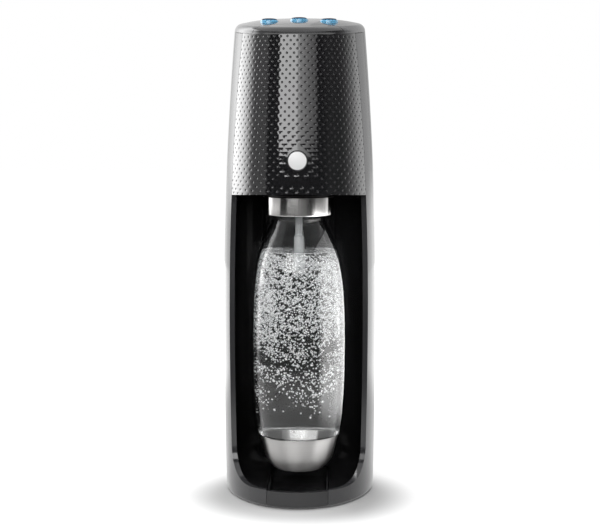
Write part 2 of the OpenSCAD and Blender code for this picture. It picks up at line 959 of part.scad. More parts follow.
module valve_block() {
    bore = thread_r + free_gap;
    color(steel)
        difference() {
            union() {
                translate([0, cyl_back, block_low])
                    cylinder(h = block_top - block_low, r = block_r);
                for (s = [-1, 1])
                    translate([s * (cheek_x + cheek_t / 2) - cheek_t / 2, lever_y - 4.5, cheek_low])
                        cube([cheek_t, cheek_d, lever_pin_z + 5 - cheek_low]);
                translate([-flange_w / 2, cyl_back - flange_d / 2, block_low])
                    cube([flange_w, flange_d, flange_h]);
                translate([-nipple_x, nipple_y, nipple_z])
                    rotate([0, -90, nipple_turn])
                        cylinder(h = nipple_l, r = nipple_r);
            }
            translate([0, cyl_back, block_low - 1])
                cylinder(h = bore_top - block_low + 1, r = bore);
            translate([0, cyl_back, block_low - 1])
                cylinder(h = flange_h + 1, r = block_r - 3.5);
            translate([0, cyl_back, bore_top - 1])
                cylinder(h = far, r = valve_pin_r + run_gap);
            lever_axis(far, lever_pin_r + run_gap);
        }
}

valve_seal_t = 2.2;
pin_collar_z = lever_z - 5;
pin_collar_t = 2;

module valve_seal() {
    color("#303030")
        translate([0, cyl_back, bore_top - valve_seal_t])
            difference() {
                cylinder(h = valve_seal_t, r = thread_r - 1);
                translate([0, 0, -1])
                    cylinder(h = valve_seal_t + 2, r = valve_pin_r + 0.8);
            }
}

module valve_pin() {
    color(steel)
        translate([0, cyl_back, 0]) {
            translate([0, 0, bore_top - 2])
                cylinder(h = lever_z - bore_top + 2, r = valve_pin_r);
            translate([0, 0, pin_collar_z])
                cylinder(h = pin_collar_t, r = valve_pin_r + 3);
        }
}

// Round wire wound into an open coil spring that stands on z = 0
module coil(r, wire, turns, height) {
    steps = 10;
    n = turns * steps;
    rise = height - 2 * wire;
    skin([for (i = [0:n]) let (a = 360 * i / steps, z = wire + rise * i / n)
        [for (k = [0:4]) let (b = -72 * k)
            [(r + wire * cos(b)) * cos(a), (r + wire * cos(b)) * sin(a), z + wire * sin(b)]]]);
}

module valve_spring() {
    color(steel)
        translate([0, cyl_back, block_top + 0.1])
            coil(valve_pin_r + 2, 0.6, 5, pin_collar_z - block_top - 0.2);
}

neck_bore = thread_r - 2.8;
cyl_top = shelf_z - 2;

// Drawn bottle with a rolled foot ring, a domed shoulder and a bored neck that the valve fills
module gas_cylinder() {
    neck = thread_r + 3;
    inner = cyl_r - cyl_wall;
    color("#8f9297")
        translate([0, cyl_back, 0])
            rotate_extrude($fn = 96)
                polygon(concat(
                    [[0, cyl_low + 4], [cyl_r - 10, cyl_low + 3], [cyl_r - 8, cyl_low],
                        [cyl_r - 4, cyl_low], [cyl_r - 1.2, cyl_low + 1.4], [cyl_r, cyl_low + 4.5]],
                    [for (a = [0:10:80])
                        [neck + (cyl_r - neck) * cos(a), dome_z + dome_h * sin(a)]],
                    [[neck, cyl_top], [neck_bore, cyl_top]],
                    [for (a = [80:-10:0])
                        [neck_bore + (inner - neck_bore) * cos(a), dome_z + (dome_h - 5) * sin(a)]],
                    [[inner, cyl_low + 10], [inner - 5, cyl_low + 5 + cyl_wall],
                        [0, cyl_low + 5 + cyl_wall]]));
}

// Brass valve whose plug fills the cylinder's neck, with a recess that the valve pin reaches into
module cylinder_valve() {
    shoulder_r = thread_r + 2.6;
    plug_r = neck_bore - 0.01;
    color("goldenrod")
        translate([0, cyl_back, 0])
            rotate_extrude()
                polygon([[0, cyl_top - 10], [plug_r - 1, cyl_top - 10], [plug_r, cyl_top - 9],
                    [plug_r, cyl_top], [shoulder_r, cyl_top], [shoulder_r, cyl_top + 6],
                    [thread_r - 0.6, cyl_top + 7], [thread_r - 0.6, cyl_top + 11],
                    [thread_r, cyl_top + 12], [thread_r, bore_top - 6], [thread_r - 1.5, bore_top - 4],
                    [valve_pin_r + 3, bore_top - 2.6], [valve_pin_r + 1, bore_top - 2.6],
                    [valve_pin_r + 0.6, bore_top - 8], [0, bore_top - 8]]);
}

hose_r = 2.2;
hose_x = ear_x + ear_t + 3.5 + hose_r + 0.2;
hose_out = [-cos(nipple_turn), -sin(nipple_turn), 0];
hose_start = [-nipple_x, nipple_y, nipple_z] + (nipple_l + 0.1) * hose_out;
// The hose leaves the valve block, comes forward and goes down through the shelf to the holder's pin
hose_bend = [[8.2, cyl_back - 23, 25], [2.2, cyl_back - 34, 20], [0, 41 - bottle_fwd, 14],
    [0, 28 - bottle_fwd, 8], [0, 18 - bottle_fwd, 2], [0, 12 - bottle_fwd, -6],
    [0, 7 - bottle_fwd, -14], [0, 2 - bottle_fwd, -21]]; // across from the slot, back, up
hose_route = concat([hose_start, hose_start + 5 * hose_out],
    [for (p = hose_bend) p + [-hose_x, 0, shelf_z]], [[-hose_x, -bottle_fwd, pivot_z]]);

// Tube swept along a route of points
module sweep(route, r, sides) {
    n = len(route);
    skin([for (i = [0:n - 1])
        let (d = route[min(i + 1, n - 1)] - route[max(i - 1, 0)], u = d / norm(d),
            side = cross(u, [0, 0.25, 1]), v = side / norm(side), w = cross(u, v))
        [for (k = [0:sides - 1]) let (b = -360 * k / sides)
            route[i] + r * (v * cos(b) - w * sin(b))]]);
}

module gas_hose() {
    color("#d8d8d8")
        sweep(hose_route, hose_r, 8);
}

// ---- Bottle holder ----

holder_r = collar_r - 2.3;
holder_top = pivot_z + 10;
holder_skin = 0.02;
pin_grip = 8;
cavity_r = neck_r + 2.8;
collar_top = collar_low + collar_h;
seal_z = mouth_z + free_gap;
seal_t = 3;

module at_bottle() {
    translate([0, -bottle_fwd, 0])
        children();
}

module holder_axis(x0, x1, r) {
    translate([x0, -bottle_fwd, pivot_z])
        rotate([0, 90, 0])
            cylinder(h = x1 - x0, r = r);
}

module bottle_holder() {
    color(black)
        difference() {
            union() {
                at_bottle()
                    rotate_extrude($fn = 96)
                        polygon([[0, collar_low + 1], [holder_r, collar_low + 1],
                            [holder_r, collar_top], [holder_r + 1, collar_top],
                            [holder_r + 1, collar_top + 1.5], [holder_r - 1, collar_top + 3],
                            [holder_r - 1, holder_top - 8], [holder_r - 6, holder_top],
                            [0, holder_top]]);
                holder_axis(-ear_x + free_gap, ear_x - free_gap, pivot_r + 3);
            }
            at_bottle() {
                translate([0, 0, collar_low - 1])
                    cylinder(h = seal_z + seal_t - collar_low + 1, r = cavity_r);
                cylinder(h = far, r = nozzle_r + 0.01);
            }
            holder_axis(-ear_x - 5, -ear_x + pin_grip + 1, pivot_r + run_gap);
            holder_axis(ear_x - pin_grip - 1, ear_x + 5, pivot_r + run_gap);
        }
}

module holder_pins() {
    color(steel) {
        holder_axis(-ear_x - ear_t - 3.5, -ear_x + pin_grip, pivot_r);
        holder_axis(ear_x - pin_grip, ear_x + ear_t + 1, pivot_r);
    }
}

module steel_collar() {
    inner = holder_r + holder_skin;
    color(steel)
        at_bottle()
            rotate_extrude($fn = 128)
                polygon([[holder_r - 2, collar_low], [collar_r - 0.8, collar_low],
                    [collar_r, collar_low + 0.8], [collar_r, collar_top - 0.6],
                    [collar_r - 0.6, collar_top], [holder_r + 1.02, collar_top],
                    [inner, collar_top - 1], [inner, collar_low + 0.98],
                    [holder_r - 2, collar_low + 0.98]]);
}

claw_z = mouth_z - 13;
claw_h = 9;
claw_w = 8;

module snap_claws() {
    color("#404046")
        at_bottle()
            for (a = [45:90:315])
                intersection() {
                    translate([0, 0, claw_z])
                        difference() {
                            cylinder(h = claw_h, r = cavity_r - holder_skin);
                            translate([0, 0, -1])
                                cylinder(h = claw_h + 2, r = neck_r + flange_out + free_gap);
                        }
                    rotate(a)
                        translate([0, -claw_w / 2, 0])
                            cube([2 * cavity_r, claw_w, far]);
                }
}

nozzle_r = 8;
nozzle_low = mouth_z - 12;
tube_top = mouth_z + 16;
sleeve_l = 30;

module bottle_seal() {
    color("#303030")
        at_bottle()
            translate([0, 0, seal_z])
                difference() {
                    cylinder(h = seal_t - holder_skin, r = cavity_r - 0.05);
                    translate([0, 0, -1])
                        cylinder(h = seal_t + 2, r = nozzle_r + 0.05);
                }
}

module nozzle_block() {
    color("#55585e")
        at_bottle()
            difference() {
                translate([0, 0, nozzle_low])
                    cylinder(h = holder_top + 4 - nozzle_low, r = nozzle_r);
                translate([0, 0, nozzle_low - 1])
                    cylinder(h = tube_top - nozzle_low + 2, r = tube_r + 0.01);
            }
}

module carbonation_tube() {
    color("#dfe6ea")
        at_bottle()
            rotate_extrude()
                polygon([[0, tube_low], [sleeve_r - 1.2, tube_low], [sleeve_r, tube_low + 3],
                    [sleeve_r, tube_low + sleeve_l], [tube_r, tube_low + sleeve_l + 1.2],
                    [tube_r, tube_top], [0, tube_top]]);
}

// ---- Bottle ----

// Point on a smooth curve through four keys
function curve(a, b, c, d, t) = 0.5 * (2 * b + (c - a) * t + (2 * a - 5 * b + 4 * c - d) * t * t
    + (3 * b - a - 3 * c + d) * t * t * t);
function smooth(keys, steps) = let (n = len(keys)) [for (i = [0:n - 2], j = [0:steps - 1])
    curve(keys[max(i - 1, 0)], keys[i], keys[i + 1], keys[min(i + 2, n - 1)], j / steps)];

// The bottle's side from the cup's rim to its neck: how far in from its widest, and how far up
neck_low = mouth_z - 28.5;
bottle_keys = [[3.8, 0.008], [1.8, 0.104], [0.4, 0.249], [0, 0.446], [0.7, 0.591], [2.1, 0.684],
    [4.9, 0.772], [9.9, 0.85], [15.4, 0.915], [bottle_r - neck_r - 1, 0.972], [bottle_r - neck_r, 1]];
bottle_side = [for (k = bottle_keys) [bottle_r - k[0], cup_top + k[1] * (neck_low - cup_top)]];

cup_keys = [[19.9, 0], [14.4, 0.03], [10, 0.13], [5.5, 0.33], [3.2, 0.56], [1.6, 0.79], [0, 1],
    [0, 1.03]];
cup_side = smooth([for (k = cup_keys)
    [cup_r - k[0], bottle_low + k[1] * (cup_top - bottle_low)]], 3);
cup_outer = [for (p = cup_side) if (p[1] <= cup_top) p];
cup_gap = 0.1;
flange_out = 1.5;

module bottle() {
    foot = bottle_low + 8;
    tuck = cup_r - cup_wall - cup_gap;
    side = smooth(bottle_side, 3);
    fitted = [for (p = cup_outer) if (p[1] > foot + 4 && p[1] < cup_top)
        p + [-cup_wall - cup_gap, cup_wall * 0.4]];
    flange_z = claw_z + 2;
    lip = [[neck_r, neck_low], [neck_r, flange_z], [neck_r + flange_out, flange_z + 0.8],
        [neck_r + flange_out, flange_z + 2.4], [neck_r, flange_z + 3.2], [neck_r, mouth_z]];
    base = [[0, foot + 4], [tuck - 16, foot + 2.5], [tuck - 12, foot], [tuck - 7.5, foot + 1]];
    lower = concat(fitted, [[tuck, cup_top + 0.4]], side);
    color([0.85, 0.9, 0.92, 0.35])
        at_bottle()
            rotate_extrude($fn = 96)
                polygon(concat(base, lower, lip,
                    [[neck_r - bottle_wall, mouth_z], [neck_r - bottle_wall, neck_low - 1]],
                    [for (i = [len(lower) - 1:-1:0]) lower[i] - [bottle_wall, 0]],
                    [[tuck - 8.5, foot + 2.8], [tuck - 12, foot + 1.9], [tuck - 16, foot + 4.3],
                        [0, foot + 5.8]]));
}

module bottle_cup() {
    color(steel)
        at_bottle()
            rotate_extrude($fn = 128)
                polygon(concat([[0, bottle_low]], cup_outer, [[cup_r - cup_wall, cup_top]],
                    [for (i = [len(cup_outer) - 2:-1:1]) cup_outer[i] + [-cup_wall, cup_wall * 0.4]],
                    [[cup_r - cup_keys[0][0], bottle_low + cup_wall + 0.2],
                        [0, bottle_low + cup_wall + 0.2]]));
}

// ---- Buttons and electronics ----

function plan_share(x, y) = pow(pow(abs(x) / (half_w(shoulder_z) - top_edge_r), plan_power)
    + pow(abs(y) / (front_d(shoulder_z) - top_edge_r), plan_power), 1 / plan_power);
function top_surface(x, y) = shoulder(y) + top_edge_r
    + top_crown * (1 - pow(min(1, plan_share(x, y)), 3.4));
function button_y(i) = -button_fwd - abs(i) * button_arc;
stem_r = 2;
ring_out = 1.2;
carrier_z = shoulder(-button_fwd) - 4;
board_z = carrier_z - 6;
switch_top = board_z + 3.2;
button_pitch = button_spread * body_w / 2;
button_foot = top_surface(button_pitch + button_r, button_y(1) - button_r) - shell_wall - 1.5;

// Stands a shape on the top of the body at a button's place
module button_at(i) {
    x = i * button_pitch;
    translate([x, button_y(i), top_surface(x, button_y(i))])
        children();
}

module cap(i) {
    x = i * button_pitch;
    top = button_rise;
    inner = button_r - 1.15;
    stem = top_surface(x, button_y(i)) - switch_top - button_travel - 0.2;
    color(ink)
        button_at(i) {
            rotate_extrude()
                polygon([[0, button_foot - top_surface(x, button_y(i)) + 1.5],
                    [inner, button_foot - top_surface(x, button_y(i)) + 1.5], [inner, top - 0.8],
                    [inner - 0.4, top - 0.2], [inner - 1.4, top], [0, top]]);
            translate([0, 0, -stem])
                cylinder(h = stem, r = stem_r);
        }
}

module ring(i) {
    x = i * button_pitch;
    low = button_foot - top_surface(x, button_y(i));
    color("#5ab4e6")
        button_at(i)
            rotate_extrude()
                polygon([[stem_r + 0.5, low], [button_r + ring_out, low],
                    [button_r + ring_out, low + 1.2], [button_r, low + 1.2],
                    [button_r, button_rise - 1.2],
                    [button_r - 0.5, button_rise - 0.5], [button_r - 1.1, button_rise - 0.4],
                    [button_r - 1.1, low + 1.45], [stem_r + 0.5, low + 1.45]]);
}

module button_spring(i) {
    x = i * button_pitch;
    color(steel)
        translate([x, button_y(i), carrier_z + carrier_t + 0.1])
            coil(4.2, 0.45, 3, button_foot - carrier_z - carrier_t - 0.2);
}

post_r = 2.5;
post_x = button_pitch + button_r + ring_out + post_r + 0.8;
carrier_t = 1.5;
carrier_edge = 3;
board_t = 1.6;
switch_w = 6;
post_y = -button_fwd - button_arc / 2;
post_top = top_surface(post_x + post_r, post_y - post_r) - shell_wall - 1.5 * free_gap;

// A flat board under the buttons whose corners keep clear of the front frame
module fitted_board(w, d, z, t) {
    translate([0, 0, z])
        linear_extrude(t)
            intersection() {
                translate([-w / 2, -button_fwd - button_arc / 2 - d / 2])
                    square([w, d]);
                plan(z, frame_wall + 1);
            }
}

module button_carrier() {
    w = 2 * (post_x + carrier_edge);
    d = 2 * (button_r + 2.5) + button_arc;
    color("#303036")
        difference() {
            union() {
                fitted_board(w, d, carrier_z, carrier_t);
                for (x = [-post_x, post_x])
                    translate([x, post_y, board_z + board_t])
                        cylinder(h = post_top - board_z - board_t, r = post_r);
            }
            for (i = [-1:1])
                translate([i * button_pitch, button_y(i), carrier_z - 1])
                    cylinder(h = carrier_t + 2, r = stem_r + 0.4);
        }
}

module control_board() {
    w = 2 * (post_x + carrier_edge + 1);
    d = 2 * (button_r + 4.5) + button_arc;
    color("darkgreen") {
        fitted_board(w, d, board_z, board_t);
        for (i = [-1:1])
            translate([i * button_pitch - switch_w / 2, button_y(i) - switch_w / 2, board_z + board_t])
                cube([switch_w, switch_w, switch_top - board_z - board_t]);
    }
}

module power_inlet() {
    color("#202024")
        at_inlet()
            difference() {
                translate([-inlet_d, -inlet_w / 2, 0])
                    cube([inlet_d, inlet_w, inlet_h]);
                translate([-inlet_d + inlet_wall, 0, inlet_h / 2])
                    rotate([0, 90, 0])
                        difference() {
                            cylinder(h = inlet_d, r = jack_r);
                            cylinder(h = inlet_d - inlet_wall - 0.5, r = jack_pin_r);
                        }
            }
}

front_frame();
head_panel();
panel_disc();
top_cover();
rear_cover();
rear_latch();
alcove_liner();
head_underplate();
base_plate();
feet();
base_screws();
drip_tray();
chassis();
gearbox_frame();
motor();
motor_pinion();
cam_shaft();
cam();
cam_gear();
lever();
lever_pin();
valve_block();
valve_seal();
valve_pin();
valve_spring();
gas_cylinder();
cylinder_valve();
gas_hose();
holder_pins();
bottle_holder();
steel_collar();
snap_claws();
bottle_seal();
nozzle_block();
carbonation_tube();
bottle();
bottle_cup();
button_carrier();
control_board();
power_inlet();
cap(-1);  // cap_small
cap(0);  // cap_medium
cap(1);  // cap_large
ring(-1);  // ring_small
ring(0);  // ring_medium
ring(1);  // ring_large
button_spring(-1);  // spring_small
button_spring(0);  // spring_medium
button_spring(1);  // spring_large
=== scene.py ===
"""Looks of a slim electric soda carbonator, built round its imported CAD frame."""

from math import atan, cos, pi, radians, sin, sqrt, tan

import bmesh
import bpy
import numpy as np
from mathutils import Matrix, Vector


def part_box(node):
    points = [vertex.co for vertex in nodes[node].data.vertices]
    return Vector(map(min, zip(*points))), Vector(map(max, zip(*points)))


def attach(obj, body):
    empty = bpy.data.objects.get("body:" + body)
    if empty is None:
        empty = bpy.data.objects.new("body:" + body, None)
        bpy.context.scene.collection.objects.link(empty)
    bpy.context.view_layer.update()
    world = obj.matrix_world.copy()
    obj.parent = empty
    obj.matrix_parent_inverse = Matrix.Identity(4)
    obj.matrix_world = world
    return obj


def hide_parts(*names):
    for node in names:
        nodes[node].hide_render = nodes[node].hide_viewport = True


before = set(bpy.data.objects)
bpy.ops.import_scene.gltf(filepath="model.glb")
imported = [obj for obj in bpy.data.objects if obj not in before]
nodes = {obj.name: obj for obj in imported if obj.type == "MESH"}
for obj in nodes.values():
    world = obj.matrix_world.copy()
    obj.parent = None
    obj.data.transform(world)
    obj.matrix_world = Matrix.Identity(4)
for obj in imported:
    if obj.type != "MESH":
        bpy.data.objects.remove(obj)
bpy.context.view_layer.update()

# ---- Camera ----
# A long lens a little above the bottle holder, turned slightly to the right of the front and
# dipped so that the appliance stands in the middle of the picture.

scene = bpy.context.scene


def placed(name, data):
    """An object of a mesh, a lamp or a camera, put into the scene."""
    made = bpy.data.objects.new(name, data)
    scene.collection.objects.link(made)
    return made


camera = placed("camera", bpy.data.cameras.new("camera"))
scene.camera = camera
scene.view_settings.view_transform = "Standard"
camera_turn = radians(1.5)
camera_dip = radians(6.24)
camera_far = 1.3
camera_z = 0.335
camera.data.lens = 90
camera.location = (camera_far * sin(camera_turn), -camera_far * cos(camera_turn), camera_z)
camera.rotation_euler = (pi / 2 - camera_dip, 0, camera_turn)

# ---- Studio ----
# A round tent of soft panels stands about the object: a tall bright panel high over the lens,
# softer walls at both sides and dark stretches between them that keep the gloss plastic black.

white = (1, 1, 1, 1)


def material(name):
    """A new material, its node tree and its shader."""
    made = bpy.data.materials.new(name)
    made.use_nodes = True
    tree = made.node_tree
    return made, tree, tree.nodes["Principled BSDF"]


def feed(made, inputs):
    """Sets a node's sockets to values, or links them to other nodes' sockets."""
    for key, value in inputs.items():
        socket = made.inputs[key]
        if isinstance(value, bpy.types.NodeSocket):
            made.id_data.links.new(value, socket)
        else:
            socket.default_value = value


def node(tree, kind, inputs=(), **settings):
    """A new node with its settings, its sockets set or linked."""
    made = tree.nodes.new(kind)
    for key, value in settings.items():
        setattr(made, key, value)
    feed(made, dict(inputs))
    return made


def maths(tree, what, a, b=0.0, c=0.0):
    """The result of one sum on values or sockets."""
    return node(tree, "ShaderNodeMath", {0: a, 1: b, 2: c}, operation=what).outputs[0]


def product(tree, *factors):
    """Several values multiplied together."""
    made = factors[0]
    for factor in factors[1:]:
        made = maths(tree, "MULTIPLY", made, factor)
    return made


def between(tree, value, low, high, low_out=0.0, high_out=1.0):
    """Eases from one value to another while the given one runs from low to high."""
    inputs = {0: value, 1: low, 2: high, 3: low_out, 4: high_out}
    return node(tree, "ShaderNodeMapRange", inputs, interpolation_type="SMOOTHSTEP").outputs[0]


def ray_kinds(tree):
    """1 for the rays that come from the lens, and 1 for those in gloss and glass."""
    path = node(tree, "ShaderNodeLightPath").outputs
    mirrored = maths(tree, "MAXIMUM", path["Is Glossy Ray"], path["Is Transmission Ray"])
    return path["Is Camera Ray"], mirrored


world = bpy.data.worlds.new("backdrop")
world.use_nodes = True
scene.world = world
tree = world.node_tree
seen = maths(tree, "MAXIMUM", *ray_kinds(tree))
backdrop_light = maths(tree, "MULTIPLY_ADD", seen, 0.4, 0.6)
feed(tree.nodes["Background"], {"Color": white, "Strength": backdrop_light})

# The floor glows where the lens sees it, and less in gloss and glass. Round the foot, most in front of
# it, its glow is turned down: a painted shadow.
reach = 6.0
painted_shadow_middle = (0, -0.045, 0)
floor_glow, tree, bsdf = material("floor_glow")
spot = node(tree, "ShaderNodeTexCoord").outputs["Object"]
out = node(tree, "ShaderNodeVectorMath", {0: spot}, operation="LENGTH").outputs["Value"]
apart = node(tree, "ShaderNodeVectorMath", {0: spot, 1: painted_shadow_middle}, operation="DISTANCE")
# Painted shadow: close to the foot the floor's glow drops, deepening the shade cast there.
painted_shadow_glow = between(tree, apart.outputs["Value"], 0.06, 0.11, 0.05, 0.64)
glow = between(tree, out, 0.18, 0.45, painted_shadow_glow, 1.0)
behind = node(tree, "ShaderNodeSeparateXYZ", {0: spot}).outputs["Y"]
far_glow = between(tree, behind, 0.1, 0.5, 0.06, 1.7)
mirrored_glow = between(tree, out, 0.3, 0.7, 0.42, far_glow)
from_lens, mirrored = ray_kinds(tree)
seen = maths(tree, "MULTIPLY", from_lens, glow)
feed(bsdf, {
    "Base Color": between(tree, out, 0.4, 0.75, 0.4, 0.05),
    "Roughness": 0.9,
    "Specular IOR Level": 0.0,
    "Emission Color": white,
    "Emission Strength": maths(tree, "MULTIPLY_ADD", mirrored, mirrored_glow, seen),
})
floor_mesh = bpy.data.meshes.new("floor")
corners = [(-reach, -reach, 0), (reach, -reach, 0), (reach, reach, 0), (-reach, reach, 0)]
floor_mesh.from_pydata(corners, [], [(0, 1, 2, 3)])
floor_mesh.materials.append(floor_glow)
floor = placed("floor", floor_mesh)


def around(azimuth, distance, z):
    """A place at an azimuth from the front, positive to the right."""
    return (distance * sin(radians(azimuth)), -distance * cos(radians(azimuth)), z)


def light_ramp(tree, azimuth, stops, brightest=5.0):
    """Light round the tent, given as azimuths in degrees and strengths."""
    along = maths(tree, "MULTIPLY_ADD", azimuth, 1 / 360, 0.5)
    ramp = node(tree, "ShaderNodeValToRGB", {0: along})
    marks = ramp.color_ramp.elements
    marks.remove(marks[1])
    for n, (at, strength) in enumerate(stops):
        place = (at + 180) / 360
        mark = marks.new(place) if n else marks[0]
        mark.position = place
        mark.color = (*[strength / brightest] * 3, 1)
    return maths(tree, "MULTIPLY", ramp.outputs["Color"], brightest)


tent_glow, tree, bsdf = material("tent_glow")
spot = node(tree, "ShaderNodeTexCoord").outputs["Object"]
x, y, z = node(tree, "ShaderNodeSeparateXYZ", {0: spot}).outputs
ahead = maths(tree, "MULTIPLY", y, -1.0)
azimuth = maths(tree, "MULTIPLY", maths(tree, "ARCTAN2", x, ahead), 180 / pi)
high = light_ramp(
    tree,
    azimuth,
    [(-180, 0.6), (-155, 1.1), (-145, 1.9), (-136, 3.2), (-128, 4.2), (-112, 4.4), (-104, 3.4),
     (-96, 1.9), (-91, 0.8), (-86, 0.45), (-60, 0.4), (-58, 0.01), (45, 0.01), (57, 0.07),
     (75, 0.08), (83, 0.12), (92, 0.24), (100, 0.5), (110, 0.85), (119, 1.25), (129, 1.2),
     (141, 0.9), (160, 0.6), (180, 0.5)],
)
low = light_ramp(
    tree,
    azimuth,
    [(-180, 1.1), (-160, 1.2), (-150, 1.2), (-135, 1.3), (-75, 1.5), (-64, 1.2), (-60, 0.02),
     (-40, 0.02), (-37, 0.34), (10, 0.28), (25, 0.16), (29, 0.02), (54, 0.02), (58, 0.75),
     (130, 1.4), (150, 1.5), (165, 1.4), (180, 1.2)],
)
over_lens = light_ramp(
    tree,
    azimuth,
    [(-180, 0), (-36.5, 0), (-36, 4.8), (-3, 4.4), (0, 2.4), (18, 1.2), (34, 0.6), (35, 0),
     (180, 0)],
)
rise = between(tree, z, 0.1, 0.26)
wall = maths(tree, "MULTIPLY_ADD", rise, maths(tree, "SUBTRACT", high, low), low)
window = product(tree, between(tree, z, 0.585, 0.6), between(tree, z, 1.3, 1.35, 1.0, 0.0))
glow = maths(tree, "MULTIPLY_ADD", over_lens, window, wall)
through = node(tree, "ShaderNodeLightPath").outputs["Is Transmission Ray"]
glow = product(tree, glow, maths(tree, "MULTIPLY_ADD", through, -0.3, 1.0))
feed(bsdf, {
    "Base Color": (0, 0, 0, 1),
    "Roughness": 1.0,
    "Specular IOR Level": 0.0,
    "Emission Color": white,
    "Emission Strength": glow,
})

tent_r, tent_h, tent_sides = 1.9, 2.0, 96
turn = np.linspace(-180, 180, tent_sides + 1)
tent_mesh = bpy.data.meshes.new("tent")
tent_mesh.from_pydata(
    [around(a, tent_r, z) for a in turn for z in (0.0, tent_h)],
    [],
    [(2 * i, 2 * i + 1, 2 * i + 3, 2 * i + 2) for i in range(tent_sides)],
)
tent_mesh.materials.append(tent_glow)
tent = placed("tent", tent_mesh)
tent.visible_camera = False


def soft_box(name, place, aim, size, power, gloss=True):
    """A soft rectangular lamp that the lens can't see."""
    lamp = bpy.data.lights.new(name, "AREA")
    lamp.shape = "RECTANGLE"
    lamp.size, lamp.size_y = size
    lamp.energy = power
    made = placed(name, lamp)
    made.location = place
    made.rotation_euler = (Vector(aim) - Vector(place)).to_track_quat("-Z", "Y").to_euler()
    made.visible_camera = False
    made.visible_glossy = gloss
    return made


soft_box("top_box", (0, 0.25, 1.75), (0, 0, 0.2), (1.5, 1.5), 22, gloss=False)
soft_box("fill", (0.1, -1.3, 1.0), (0, 0, 0.2), (0.8, 0.8), 6, gloss=False)

# A narrow strip beside the bottle, seen only as the soft upright light down the glass.
strip_x, strip_y, strip_z = 0.05, -0.068, 0.14
strip_size = (0.076, 0.2)
strip = soft_box(
    "bottle_strip", (strip_x, strip_y, strip_z), (0, strip_y, strip_z), strip_size, 0.36
)
strip.visible_transmission = False
strip.data.diffuse_factor = 0
strip.data.transmission_factor = 0
strip.data.use_nodes = True
tree = strip.data.node_tree
spot = node(tree, "ShaderNodeNewGeometry").outputs["Position"]
x, y, z = node(tree, "ShaderNodeSeparateXYZ", {0: spot}).outputs
glow = product(
    tree,
    between(tree, y, -0.106, -0.08),
    between(tree, y, -0.075, -0.035, 1.1, 0.6),
    between(tree, z, 0.05, 0.085, 0.1, 1.0),
    between(tree, z, 0.19, 0.235, 1.0, 0.3),
)
feed(tree.nodes["Emission"], {"Strength": glow})

# ---- Base and feet ----
# The base plate and the power inlet are moulded in matt black plastic, and four soft rubber feet
# are pressed into the plate. Screws from below hold the housing to it.

mm = 0.001


def new_group(name, inputs, outputs):
    """A node group with named sockets, the sockets that it is given and its result."""
    tree = bpy.data.node_groups.new(name, "ShaderNodeTree")
    for in_out, sockets in (("INPUT", inputs), ("OUTPUT", outputs)):
        for socket, kind in sockets.items():
            tree.interface.new_socket(socket, in_out=in_out, socket_type="NodeSocket" + kind)
    return tree, tree.nodes.new("NodeGroupInput").outputs, tree.nodes.new("NodeGroupOutput")


# Mottle: the cloudy grain of a moulded, drawn or brushed surface, as a mask and as a colour
# between two tones. Stretch draws it out into lines.
mottle, given, result = new_group(
    "mottle",
    {"Stretch": "Vector", "Scale": "Float", "Detail": "Float", "Dark": "Color", "Pale": "Color"},
    {"Colour": "Color", "Mask": "Float"},
)
spot = node(mottle, "ShaderNodeTexCoord").outputs["Object"]
drawn = node(mottle, "ShaderNodeMapping", {"Vector": spot, "Scale": given["Stretch"]}).outputs[0]
grain = {"Vector": drawn, "Scale": given["Scale"], "Detail": given["Detail"]}
mask = node(mottle, "ShaderNodeTexNoise", grain).outputs["Fac"]
tones = {0: mask, 6: given["Dark"], 7: given["Pale"]}
shade = node(mottle, "ShaderNodeMix", tones, data_type="RGBA").outputs[2]
feed(result, {"Colour": shade, "Mask": mask})

# Soft edge: catches the light along sharp edges and roughens the surface by a height.
edge_round = 0.3 * mm
soft_edge, given, result = new_group(
    "soft_edge",
    {"Height": "Float", "Distance": "Float", "Strength": "Float"},
    {"Normal": "Vector"},
)
edge = node(soft_edge, "ShaderNodeBevel", {"Radius": edge_round}, samples=4).outputs[0]
relief = {key: given[key] for key in ("Height", "Distance", "Strength")}
bump = node(soft_edge, "ShaderNodeBump", {"Normal": edge, **relief}).outputs[0]
feed(result, {"Normal": bump})


def mottled(tree, scale, detail, dark=white, pale=white, stretch=(1, 1, 1)):
    """A material's own mottle: its Colour and its Mask."""
    values = {"Stretch": stretch, "Scale": scale, "Detail": detail, "Dark": dark, "Pale": pale}
    return node(tree, "ShaderNodeGroup", values, node_tree=mottle).outputs


def soft_edged(tree, height, distance, strength):
    """A material's own soft edge, with its grain as the height."""
    values = {"Height": height, "Distance": distance, "Strength": strength}
    return node(tree, "ShaderNodeGroup", values, node_tree=soft_edge).outputs["Normal"]


def tone(colour, share):
    """A colour made darker or paler by a share of itself."""
    return (*[min(1, c * share) for c in colour], 1)


def matte(name, colour, roughness=0.5, scale=1500.0, strength=0.25):
    """Moulded plastic or rubber with a fine spark-eroded grain."""
    made, tree, bsdf = material(name)
    grain = mottled(tree, scale, 2)["Mask"]
    cloud = mottled(tree, 25, 4, tone(colour, 0.82), tone(colour, 1.15))
    feed(bsdf, {
        "Base Color": cloud["Colour"],
        "Roughness": maths(tree, "MULTIPLY_ADD", cloud["Mask"], 0.14, roughness - 0.07),
        "Normal": soft_edged(tree, grain, 0.2 * mm, strength),
    })
    return made


def dress(paint, *names):
    """Paints pieces that show as they were made, without a new shape."""
    for name in names:
        nodes[name].data.materials.clear()
        nodes[name].data.materials.append(paint)


matte_black = matte("matte_black", (0.012, 0.012, 0.013), 0.45)
rubber = matte("rubber", (0.018, 0.018, 0.018), 0.7, 900.0, 0.4)
dress(matte_black, "base_plate", "power_inlet")
dress(rubber, "feet")

# ---- Chassis and gears ----
# The frame that carries cylinder, drive and holder, with the gearbox frame screwed to its shelf,
# is moulded in stiff grey plastic. The cam and its gear are white acetal, pressed on their shaft.

